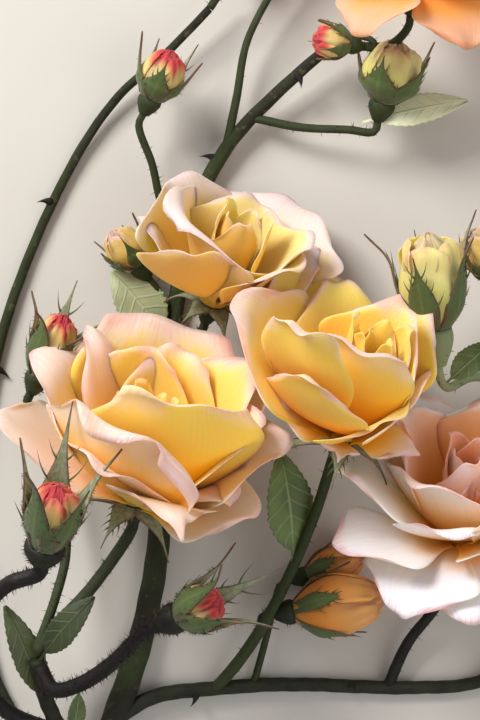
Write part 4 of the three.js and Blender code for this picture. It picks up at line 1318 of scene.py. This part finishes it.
class ROSE_OT_calyxes(bpy.types.Operator):
    """Make the stalks, hips and sepals"""
    bl_idname = "rose.calyxes"
    bl_label = "Calyxes"

    def execute(self, context):
        rose = context.scene.rose_branch
        random = np.random.default_rng(7)
        finishes = [
            finish_once("stalk_skin", stalk_finish, rose.greens),
            finish_once("sepal_skin", sepal_finish, rose.greens),
        ]
        for flower in BLOOMS + BUDS:
            sheaf = Sheaf()
            add_calyx(sheaf, flower, rose.sizes, random)
            piece = sheaf.to_object(f"{flower.name}_sepals", finishes)
            stand_for(piece, f"{flower.name}_calyx")
        return {"FINISHED"}


class ROSE_OT_stems(bpy.types.Operator):
    """Make the canes and side stems with their bark and prickles"""
    bl_idname = "rose.stems"
    bl_label = "Stems"

    def execute(self, context):
        rose = context.scene.rose_branch
        older = finish_once("cane_bark", bark_finish, rose.greens)
        young = finish_once("stalk_skin", stalk_finish, rose.greens)
        for stem in STEMS:
            sheaf = Sheaf()
            points = spline(stem.route, STEM_STEP)
            radii = np.linspace(*stem.radii, len(points))
            add_tube(sheaf, points, radii, STEM_SIDES, relief=bark_relief, blush=stem.tint)
            add_prickles(sheaf, stem, points)
            body = older if stem.slot == "wood" else young
            piece = sheaf.to_object(f"{stem.name}_bark", [body, young])
            stand_for(piece, stem.name)
        self.cut_end(rose)
        return {"FINISHED"}

    def cut_end(self, rose):
        """The bare wood across the cane's cut, very slightly domed."""
        cane = STEMS[0]
        points = spline(cane.route, STEM_STEP)
        _, normals, binormals = carried_frames(points)
        outward = unit(points[0] - points[1])
        radii = np.linspace(0, cane.radii[0] * 0.97, CUT_ROWS)
        angle = np.linspace(0, 2 * math.pi, STEM_SIDES, endpoint=False)
        dome = 0.12 * np.cos(np.linspace(0, math.pi / 2, CUT_ROWS))
        ring = around(angle, normals[0], binormals[0])
        grid = points[0] + radii[:, None, None] * ring + dome[:, None, None] * outward
        sheaf = Sheaf()
        sheaf.add(
            grid, grid_faces(CUT_ROWS, STEM_SIDES, closed=True)[:, ::-1],
            along=np.repeat(radii / radii[-1], STEM_SIDES),
        )
        piece = sheaf.to_object("cane_cut_wood", [finish_once("cut_wood", wood_finish, rose.greens)])
        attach(piece, "root")


class ROSE_OT_leaves(bpy.types.Operator):
    """Make the leaves and bracts"""
    bl_idname = "rose.leaves"
    bl_label = "Leaves"

    def execute(self, context):
        rose = context.scene.rose_branch
        finish = finish_once("leaf_skin", leaf_finish, rose.greens)
        for leaf in LEAVES:
            heading = unit(leaf.heading)
            facing = np.array(leaf.facing, float)
            up = unit(facing - heading * facing.dot(heading))
            blade = Blade(
                0.0, leaf.long, leaf.wide, (12, 4, -6, -18), cup=1.6, ruffle=0.4, start=0, base=0,
                blush=leaf.pale,
            )
            sheaf = Sheaf()
            add_blade(
                sheaf, FlowerFrame(leaf.foot, up, heading), blade, leaf_half, LEAF_ROWS, LEAF_COLUMNS,
                rose.sizes.leaf_thickness / METRES,
            )
            stand_for(sheaf.to_object(f"{leaf.name}_blade", [finish]), leaf.name)
        return {"FINISHED"}


class ROSE_OT_stage(bpy.types.Operator):
    """Make the floor, the lights and the camera"""
    bl_idname = "rose.stage"
    bl_label = "Stage"

    LIGHTS = (
        ("key", (-0.5, 0.6, 0.62), 0.4, 12.5, (1.0, 0.97, 0.93)),
        ("fill", (0.7, -0.4, 0.8), 1.0, 4.6, DAYLIGHT),
    )

    def execute(self, context):
        mesh = bpy.data.meshes.new("floor")
        corners = [(x * FLOOR_HALF, y * FLOOR_HALF, 0) for x, y in ((-1, -1), (1, -1), (1, 1), (-1, 1))]
        mesh.from_pydata(corners, [], [(0, 1, 2, 3)])
        mesh.materials.append(floor_finish("floor_matt", context.scene.rose_branch.greens.floor))
        floor = bpy.data.objects.new("floor", mesh)
        context.scene.collection.objects.link(floor)
        floor.location.z = -FLOOR_DROP
        for name, place, size, power, tint in self.LIGHTS:
            self.add_light(context, name, place, size, power, tint)
        world = bpy.data.worlds.new("studio")
        world.use_nodes = True
        background = world.node_tree.nodes["Background"]
        background.inputs["Color"].default_value = (*DAYLIGHT, 1.0)
        background.inputs["Strength"].default_value = DAYLIGHT_STRENGTH
        context.scene.world = world
        context.scene.view_settings.view_transform = "Standard"
        self.add_camera(context)
        return {"FINISHED"}

    def add_light(self, context, name, place, size, power, tint):
        data = bpy.data.lights.new(name, "AREA")
        data.size = size
        data.energy = power
        data.color = tint
        light = bpy.data.objects.new(name, data)
        light.location = place
        light.rotation_euler = light.location.to_track_quat("Z", "Y").to_euler()
        context.scene.collection.objects.link(light)

    def add_camera(self, context):
        data = bpy.data.cameras.new("camera")
        data.sensor_fit = "VERTICAL"
        data.angle = 2 * math.atan(PICTURE_HALF_HEIGHT / CAMERA_HEIGHT)
        data.clip_start = 0.01
        camera = bpy.data.objects.new("camera", data)
        camera.location = (LAYOUT_SHIFT + (0, 0, CAMERA_HEIGHT)) * METRES
        context.scene.collection.objects.link(camera)
        context.scene.camera = camera


class ROSE_PT_branch(bpy.types.Panel):
    """Sidebar panel with the branch's settings and its steps."""
    bl_label = "Cut rose branch"
    bl_idname = "ROSE_PT_branch"
    bl_space_type = "VIEW_3D"
    bl_region_type = "UI"
    bl_category = "Rose"

    def draw(self, context):
        rose = context.scene.rose_branch
        for group_name in GROUPS:
            group = getattr(rose, group_name)
            box = self.layout.box()
            box.label(text=group_name.title())
            for name in type(group).__annotations__:
                box.prop(group, name)
        for operator in OPERATORS:
            self.layout.operator(operator.bl_idname)


OPERATORS = (ROSE_OT_stage, ROSE_OT_stems, ROSE_OT_calyxes, ROSE_OT_buds, ROSE_OT_blooms, ROSE_OT_leaves)
CLASSES = (*GROUPS.values(), RoseBranch, *OPERATORS, ROSE_PT_branch)


def register():
    for cls in CLASSES:
        bpy.utils.register_class(cls)
    bpy.types.Scene.rose_branch = bpy.props.PointerProperty(type=RoseBranch)


def unregister():
    del bpy.types.Scene.rose_branch
    for cls in reversed(CLASSES):
        bpy.utils.unregister_class(cls)


def plain(bounds):
    return [list(corner) for corner in bounds]


def main():
    register()
    for operator in OPERATORS:
        group, name = operator.bl_idname.split(".")
        getattr(getattr(bpy.ops, group), name)()


if __name__ == "__main__":
    main()
